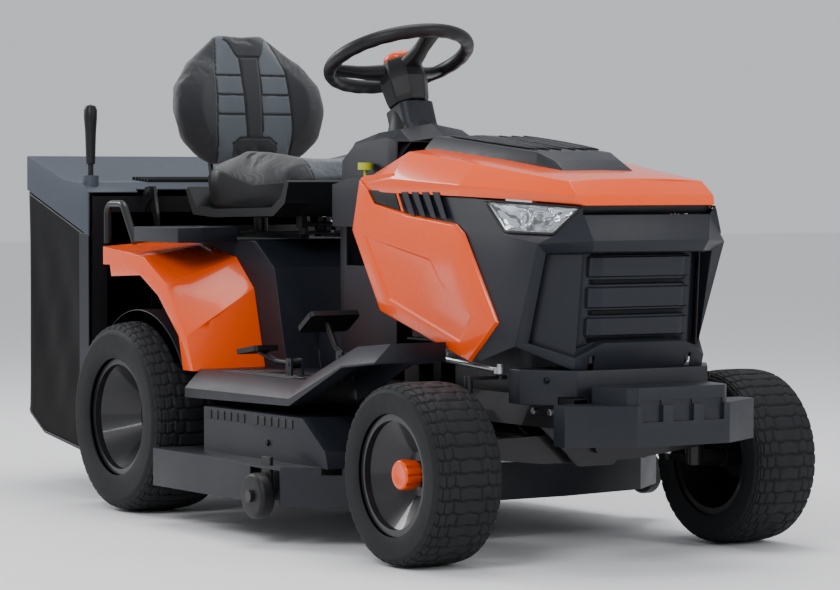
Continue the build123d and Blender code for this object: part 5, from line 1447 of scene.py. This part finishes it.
# ---------------------------------------------------------------- seat shell
@dataclass
class SeatShell:
    """Tub under the cushion, with a raised lip."""

    def build(self) -> None:
        """The tub as level loops that widen upwards, closed below."""
        turn = np.linspace(0, TAU, 64, endpoint=False)
        rows = [(0.7135, 0.80, 0.0), (0.718, 0.90, 0.0), (0.737, 0.965, 0.1), (0.758, 0.99, 0.55),
                (0.770, 1.0, 1.0),
                (0.773, 0.985, 1.0), (0.768, 0.965, 0.9), (0.745, 0.945, 0.4)]
        loops = []
        for z, share, rise in rows:
            cos, sin = np.cos(turn), np.sin(turn)
            x = REAR_AXLE + 0.155 + 0.243 * share * np.sign(cos) * np.abs(cos) ** 0.5
            y = 0.213 * share * np.sign(sin) * np.abs(sin) ** 0.5
            hip = np.interp(x - REAR_AXLE, [-0.06, 0.03, 0.12, 0.22, 0.38],
                            [0.022, 0.052, 0.036, 0.012, 0.022])
            loops.append(np.stack([x, y, z + rise * hip], axis=1))
        piece = loft("seat_tub", np.array(loops), smooth=True)
        piece.data.set_sharp_from_angle(angle=math.radians(50))
        publish(piece, BLACK_PLASTIC, "seat")


# ---------------------------------------------------------------- frame panels with rounded edges
@dataclass(frozen=True)
class RoundedPanel:
    """A panel of the frame shown with rounded edges: its own mesh, welded, flattened and bevelled."""

    node: str
    finish: Finish
    width: float

    def build(self) -> None:
        """Copies the node, rounds the copy and shows it in the node's place."""
        piece = bpy.data.objects.new(f"{self.node}_skin", frame["nodes"][self.node].data.copy())
        bpy.context.scene.collection.objects.link(piece)
        weld(piece, 2e-5)
        flat = piece.modifiers.new("flat", "DECIMATE")
        flat.decimate_type = "DISSOLVE"
        flat.angle_limit = math.radians(0.6)
        apply_all(piece)
        edge = piece.modifiers.new("edge", "BEVEL")
        edge.width = self.width
        edge.segments = 4
        edge.limit_method = "ANGLE"
        edge.angle_limit = math.radians(16)
        edge.use_clamp_overlap = True
        apply_all(piece)
        piece.data.polygons.foreach_set("use_smooth", np.ones(len(piece.data.polygons), bool))
        piece.data.set_sharp_from_angle(angle=math.radians(32))
        record = frame["record"]
        body = next(name for name, nodes in record["behaviour"]["bodies"].items() if self.node in nodes)
        publish(piece, self.finish, body, (self.node,))


# ---------------------------------------------------------------- catcher
@dataclass
class Catcher:
    """The grass catcher: its mesh bag with hems and corner strips, and the vent on its lid."""

    columns: int = 200
    wall_rows: int = 64
    floor_rows: int = 26
    flat_width: float = 1.65
    flat_length: float = 0.98
    flat_area: float = 1.26

    def bag_points(self) -> np.ndarray:
        """The bag as one sheet: down the walls from the lid, then inwards over its floor to the middle line.

        The wall hangs in by a bow that is lost at the corners and hems, with shallow folds that fan out from
        the lower corners: depth = bow(u) * sin(pi v) + fold * sin(k u + c v).

        Returns:
            Points as rows from the top edge to the middle, columns round the bag.
        """
        half = np.array([(-0.309, 0.378), (-0.645, 0.378), (-0.655, 0.373), (-0.838, 0.260), (-0.843, 0.248),
                         (-0.843, 0.0)])
        steps = np.concatenate([[0], np.cumsum(np.linalg.norm(np.diff(half, axis=0), axis=1))])
        share = np.linspace(0, steps[-1], self.columns // 2)
        x = np.interp(share, steps, half[:, 0])
        y = np.interp(share, steps, half[:, 1])
        path_x = np.concatenate([x, x[-2::-1]])[None, :]
        path_y = np.concatenate([-y, y[-2::-1]])[None, :]
        along = np.concatenate([share, share[-2::-1]])[None, :]
        top = np.interp(-path_x, [0.309, 0.65, 0.842], [0.652, 0.762, 0.784])

        def floor_height(place: np.ndarray) -> np.ndarray:
            """Height of the bag's floor.

            Args:
                place: Distance in front of the rear axle, so below 0.

            Returns:
                The height.
            """
            return np.interp(-place, [0.307, 0.56, 0.80, 0.842], [0.116, 0.152, 0.286, 0.332])

        low = floor_height(path_x)
        v = np.linspace(0, 1, self.wall_rows)[:, None]
        panel = np.abs(np.sin(math.pi * np.interp(along, [0, 0.342, 0.556, 0.806], [0, 1, 2, 2.5]))) ** 0.6
        bow = 0.011 * panel * np.sin(math.pi * v) ** 0.8
        fold = 0.0022 * panel * np.sin(math.pi * v) * np.sin(34 * along + 9 * v) + \
            0.0016 * panel * v * np.sin(math.pi * v) * np.sin(61 * along - 14 * v)
        depth = bow + fold
        forward, across = self.inward(path_x, path_y)
        wall = np.stack([path_x + forward * depth, path_y + across * depth, top + (low - top) * v], axis=2)
        w = np.linspace(0, 1, self.floor_rows + 1)[1:, None]
        target = -0.309 + (path_x + 0.309) * 0.8
        floor_x = path_x * (1 - w) + target * w
        floor_y = path_y * (1 - w)
        sink = 0.006 * np.sin(math.pi * w) * panel
        floor = np.stack([floor_x, floor_y, floor_height(floor_x) + sink], axis=2)
        points = np.concatenate([wall, floor])
        points[:, :, 0] += REAR_AXLE
        return points

    @staticmethod
    def inward(x: np.ndarray, y: np.ndarray) -> tuple[np.ndarray, np.ndarray]:
        """Direction into the bag at a point of its plan: across on the sides, forward at the back.

        Args:
            x: Places along the machine.
            y: Places across it.

        Returns:
            The direction's shares forward and across.
        """
        rear = smoothstep(-x, 0.62, 0.84)
        across = -np.sign(y) * (1 - rear * (1 - np.clip(np.abs(y) / 0.3, 0, 1)))
        return rear, across

    def bag(self) -> None:
        """Makes the bag's sheet with its thickness, hems and corner strips."""
        points = self.bag_points()
        rows, columns = points.shape[:2]
        piece = new_mesh("bag_sheet", points, grid_faces(rows, columns))
        weld(piece, 1e-4)
        face_outwards(piece)
        shell = piece.modifiers.new("cloth_wall", "SOLIDIFY")
        shell.thickness = 0.0014
        shell.offset = 0.0
        apply_all(piece)
        publish(piece, BAG_CLOTH, "catcher", ("catcher_bag",))
        for number, (row, radius) in enumerate(((self.wall_rows - 1, 0.004), (0, 0.003))):
            hem = tube(f"bag_hem_{number}", points[row], radius, sides=8)
            publish(hem, BLACK_PLASTIC, "catcher")
        for side in Side:
            for number, place in enumerate((0.655, 0.842)):
                column = int(np.argmin(np.abs(points[0, :, 0] - REAR_AXLE + place)
                                       + np.where(points[0, :, 1] * side.value > 0.2, 0, 9)))
                hem = tube(f"bag_seam_{side.word}_{number}", points[: self.wall_rows, column], 0.003, sides=8)
                publish(hem, BLACK_PLASTIC, "catcher")

    def strips(self) -> None:
        """Stiff plastic strips down the front corners of the bag."""
        for side in Side:
            y = sorted((side.value * 0.3800, side.value * 0.3832))
            strip = block(f"bag_strip_{side.word}", (REAR_AXLE - 0.352, y[0], 0.118),
                          (REAR_AXLE - 0.300, y[1], 0.664), 0.001)
            publish(strip, SLATE, "catcher")

    def vent(self) -> None:
        """Slats of the air outlet on the lid."""
        slope = 0.007 / 0.095
        for number in range(6):
            x = REAR_AXLE - 0.344 - 0.016 * number
            z = 0.7905 + (REAR_AXLE - 0.335 - x) * slope
            slat = block(f"lid_slat_{number}", (x - 0.005, -0.195, z - 0.004),
                         (x + 0.002, 0.195, z + 0.0075), 0.0012)
            publish(slat, BLACK_PLASTIC, "catcher")

    def lever(self) -> None:
        """The dump lever: a thin rod with a long grip that widens upwards and ends in a rounded knob."""
        low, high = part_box("dump_lever")
        x, y = (low.x + high.x) / 2, (low.y + high.y) / 2
        top = high.z
        profile = np.array([(low.z, 0.0), (low.z, 0.0069), (top - 0.150, 0.0069), (top - 0.148, 0.0110),
                            (top - 0.135, 0.0118), (top - 0.070, 0.0138), (top - 0.035, 0.0165),
                            (top - 0.014, 0.0168), (top - 0.004, 0.0125), (top, 0.0)])
        piece = turned("lever_grip", profile, Vector((x, y, 0)), "Z", 32)
        piece.data.set_sharp_from_angle(angle=math.radians(40))
        publish(piece, GRIP, "dump_lever", ("dump_lever",))

    def build(self) -> None:
        """Makes the catcher's own pieces."""
        self.lever()
        self.bag()
        self.strips()
        self.vent()


# ---------------------------------------------------------------- small parts
@dataclass
class Details:
    """Foot ridges, deck slots, gauge wheel brackets and bolts."""

    def surface(self, node: str, origin: tuple[float, float, float],
                aim: tuple[float, float, float]) -> Vector | None:
        """Finds where a ray meets a node of the frame.

        Args:
            node: The node.
            origin: Where the ray starts.
            aim: Its direction.

        Returns:
            The point, or None where the ray misses.
        """
        found, place, _, _ = frame["nodes"][node].ray_cast(Vector(origin), Vector(aim))
        return place if found else None

    def ridges(self) -> None:
        """Long grip ridges on both footboards."""
        for side in Side:
            for number in range(6):
                y = side.value * (0.262 + 0.024 * number)
                x = REAR_AXLE + np.linspace(0.37, 0.74, 12)
                heights = [self.surface("footboards", (float(v), y, 0.36), (0, 0, -1)) for v in x]
                path = np.array([tuple(p) for p in heights if p is not None and p.z > 0.29])
                if len(path) > 6:
                    publish(tube(f"foot_ridge_{side.word}_{number}", path, 0.0028, sides=8), BLACK_PLASTIC,
                            "chassis")

    def slots(self) -> None:
        """Two rows of six near-black blocks in the deck cover's upper wall: painted shade that stands in for
        the shaded recess of each slot.
        """
        for side in Side:
            for row in range(2):
                for number in range(6):
                    x, z = REAR_AXLE + 0.43 + 0.031 * number + 0.215 * row, 0.262
                    place = self.surface("deck_cover", (x, side.value * 0.56, z), (0, -side.value, 0))
                    if place is None:
                        continue
                    low = (x - 0.0105, place.y - 0.0018, z - 0.010)
                    high = (x + 0.0105, place.y + 0.0018, z + 0.010)
                    # Each block is painted shade: a thin near-black plate where the slot's recess would lie in
                    # shade.
                    slot = block(f"deck_slot_{side.word}_{row}_{number}", low, high, 0.0008)
                    publish(slot, GRIP, "deck")

    def brackets(self) -> None:
        """Fork plates that carry the gauge wheels on the deck's sides."""
        for side in Side:
            low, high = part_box(f"gauge_wheel_{side.word}")
            x, z = (low.x + high.x) / 2, (low.z + high.z) / 2
            inner = high.y if side is Side.RIGHT else low.y
            y = sorted((inner - side.value * 0.001, inner - side.value * 0.0092))
            plate = block(f"gauge_bracket_{side.word}", (x - 0.02, y[0], z - 0.018),
                          (x + 0.02, y[1], high.z + 0.035), 0.002)
            publish(plate, BLACK_PLASTIC, "deck")

    def bolts(self) -> None:
        """Hexagon bolt heads along the frame, the guard and the deck."""
        rows = [("frame", "chassis", FRONT_AXLE + step, 0.318) for step in (-0.25, -0.19, 0.09, 0.15)]
        rows += [("bumper_cover", "chassis", FRONT_AXLE + 0.16, 0.385),
                 ("deck_cover", "deck", REAR_AXLE + 0.70, 0.215)]
        turn = np.arange(6) / 6 * TAU
        for side in Side:
            for number, (node, body, x, z) in enumerate(rows):
                place = self.surface(node, (x, side.value * 0.56, z), (0, -side.value, 0))
                if place is None:
                    continue
                rings = [np.stack([x + 0.0075 * np.cos(turn), np.full(6, place.y + side.value * step),
                                   z + 0.0075 * np.sin(turn)], axis=1) for step in (-0.001, 0.005)]
                loops = np.array(rings)
                piece = bevelled(loft(f"bolt_{side.word}_{number}", loops), 0.0012, 2)
                face_outwards(piece)
                publish(piece, ZINC if node == "frame" else BLACK_PLASTIC, body)

    def build(self) -> None:
        """Makes all of them."""
        self.ridges()
        self.slots()
        self.brackets()
        self.bolts()


# ---------------------------------------------------------------- stage
@dataclass
class Stage:
    """A pale floor, soft lights and the camera."""

    place: tuple[float, float, float] = (6.3956, -3.9068, 0.7992)
    aim: tuple[float, float, float] = (0.2408, 0.0, 0.5317)
    lens: float = 135.68

    def floor(self) -> None:
        """A wide pale floor under the wheels."""
        low, high = cad_box
        reach = 30.0
        points = np.array([(-reach, -reach, low.z), (reach, -reach, low.z), (reach, reach, low.z),
                           (-reach, reach, low.z)])
        plane = new_mesh("floor", points, [(0, 1, 2, 3)], smooth=False)
        material = bpy.data.materials.new("floor_pale")
        material.use_nodes = True
        shader = material.node_tree.nodes["Principled BSDF"]
        shader.inputs["Base Color"].default_value = (0.86, 0.86, 0.87, 1.0)
        shader.inputs["Roughness"].default_value = 0.6
        plane.data.materials.append(material)

    def light(self, name: str, place: tuple[float, float, float], size: float, power: float) -> None:
        """Adds an area light that aims at the machine's middle.

        Args:
            name: The light's name.
            place: Where it stands.
            size: Its side in metres.
            power: Its power in watts.
        """
        data = bpy.data.lights.new(name, "AREA")
        data.size = size
        data.energy = power
        lamp = bpy.data.objects.new(name, data)
        lamp.location = place
        lamp.rotation_euler = (Vector((0.1, 0, 0.5)) - Vector(place)).to_track_quat("-Z", "Y").to_euler()
        bpy.context.scene.collection.objects.link(lamp)

    def build(self) -> None:
        """Makes the floor, world, lights and camera."""
        self.floor()
        world = bpy.data.worlds.new("studio")
        world.use_nodes = True
        world.node_tree.nodes["Background"].inputs[0].default_value = (0.93, 0.95, 1.0, 1.0)
        world.node_tree.nodes["Background"].inputs[1].default_value = 0.7
        bpy.context.scene.world = world
        self.light("key", (3.5, -4.5, 4.2), 2.2, 190)
        self.light("fill", (5.5, 2.5, 2.6), 2.4, 90)
        self.light("top", (-0.5, 0.5, 5.0), 3.0, 150)
        self.light("rim", (-4.5, -2.5, 3.0), 1.6, 120)
        camera = bpy.data.cameras.new("camera")
        camera.lens = self.lens
        camera.sensor_width = 36.0
        holder = bpy.data.objects.new("camera", camera)
        holder.location = self.place
        holder.rotation_euler = (Vector(self.aim) - Vector(self.place)).to_track_quat("-Z", "Y").to_euler()
        bpy.context.scene.collection.objects.link(holder)
        bpy.context.scene.camera = holder


NODE_FINISH = {
    ORANGE: ("fenders", "hood_shell", "side_panels", "steering_cap", "hub_cap_left", "hub_cap_right"),
    SLATE: ("rear_body", "storage_trays", "footboards", "dash_tower", "bumper_cover", "bumper_guard",
            "hood_scoop", "hood_fascia", "grille", "deck_cover"),
    LID: ("catcher_lid",),
    BLACK_PLASTIC: ("tank_and_battery", "grass_chute", "forward_pedal", "reverse_pedal", "brake_pedal",
                    "throttle_lever", "seat_pan", "gauge_wheel_left", "gauge_wheel_right", "belt_drive"),
    STEEL_BLACK: ("frame", "muffler", "grab_handles", "catcher_frame", "axle_beam", "knuckle_left",
                  "knuckle_right", "seat_base", "deck_shell"),
    RIM: ("front_rim_left", "front_rim_right", "rear_rim_left", "rear_rim_right"),
    ZINC: ("lower_shaft", "sector_gear", "link_fork", "drag_link", "tie_rod", "blade_left", "blade_right"),
    CASTING: ("transaxle", "engine"),
    GRIP: ("steering_wheel", "dump_lever"),
    KNOB: ("blade_knob",),
    GLASS: ("headlights",),
    TYRE: ("front_tyre_left", "front_tyre_right", "rear_tyre_left", "rear_tyre_right"),
    SEAT_CLOTH: ("seat_cushion", "seat_back"),
    BAG_CLOTH: ("catcher_bag",),
}


PANELS = (
    RoundedPanel("fenders", ORANGE, 0.012), RoundedPanel("bumper_guard", SLATE, 0.007),
    RoundedPanel("bumper_cover", SLATE, 0.006), RoundedPanel("deck_cover", SLATE, 0.008),
    RoundedPanel("footboards", SLATE, 0.006), RoundedPanel("rear_body", SLATE, 0.006),
    RoundedPanel("dash_tower", SLATE, 0.008), RoundedPanel("storage_trays", SLATE, 0.004),
    RoundedPanel("catcher_lid", LID, 0.007), RoundedPanel("gauge_wheel_right", BLACK_PLASTIC, 0.003),
    RoundedPanel("gauge_wheel_left", BLACK_PLASTIC, 0.003),
)


def dress_frame() -> None:
    """Gives every node of the frame its finish."""
    for finish, names in NODE_FINISH.items():
        for name in names:
            node = frame["nodes"][name]
            node.data.materials.clear()
            node.data.materials.append(Paintbox.of(finish))


def main() -> None:
    """Builds everything in order."""
    logging.basicConfig(level=logging.INFO, format="%(message)s")
    Stage().build()
    dress_frame()
    for side in Side:
        low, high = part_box(f"front_tyre_{side.word}")
        Tyre(f"front_tyre_{side.word}", f"front_wheel_{side.word}", (high.z - low.z) / 2, high.y - low.y, 0.127,
             rows=42, columns=6).build()
        low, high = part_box(f"rear_tyre_{side.word}")
        Tyre(f"rear_tyre_{side.word}", f"rear_wheel_{side.word}", (high.z - low.z) / 2, high.y - low.y, 0.140,
             rows=48, columns=7).build()
        HubCap(side).build()
    Hood().build()
    SteeringWheel().build()
    Dash().build()
    SeatShell().build()
    Catcher().build()
    Details().build()
    for panel in PANELS:
        panel.build()
    BackRest("backrest_cover", "seat_back").build("seat")
    SeatCushion("seat_cushion_cover", "seat_cushion").build("seat")


if __name__ == "__main__":
    main()
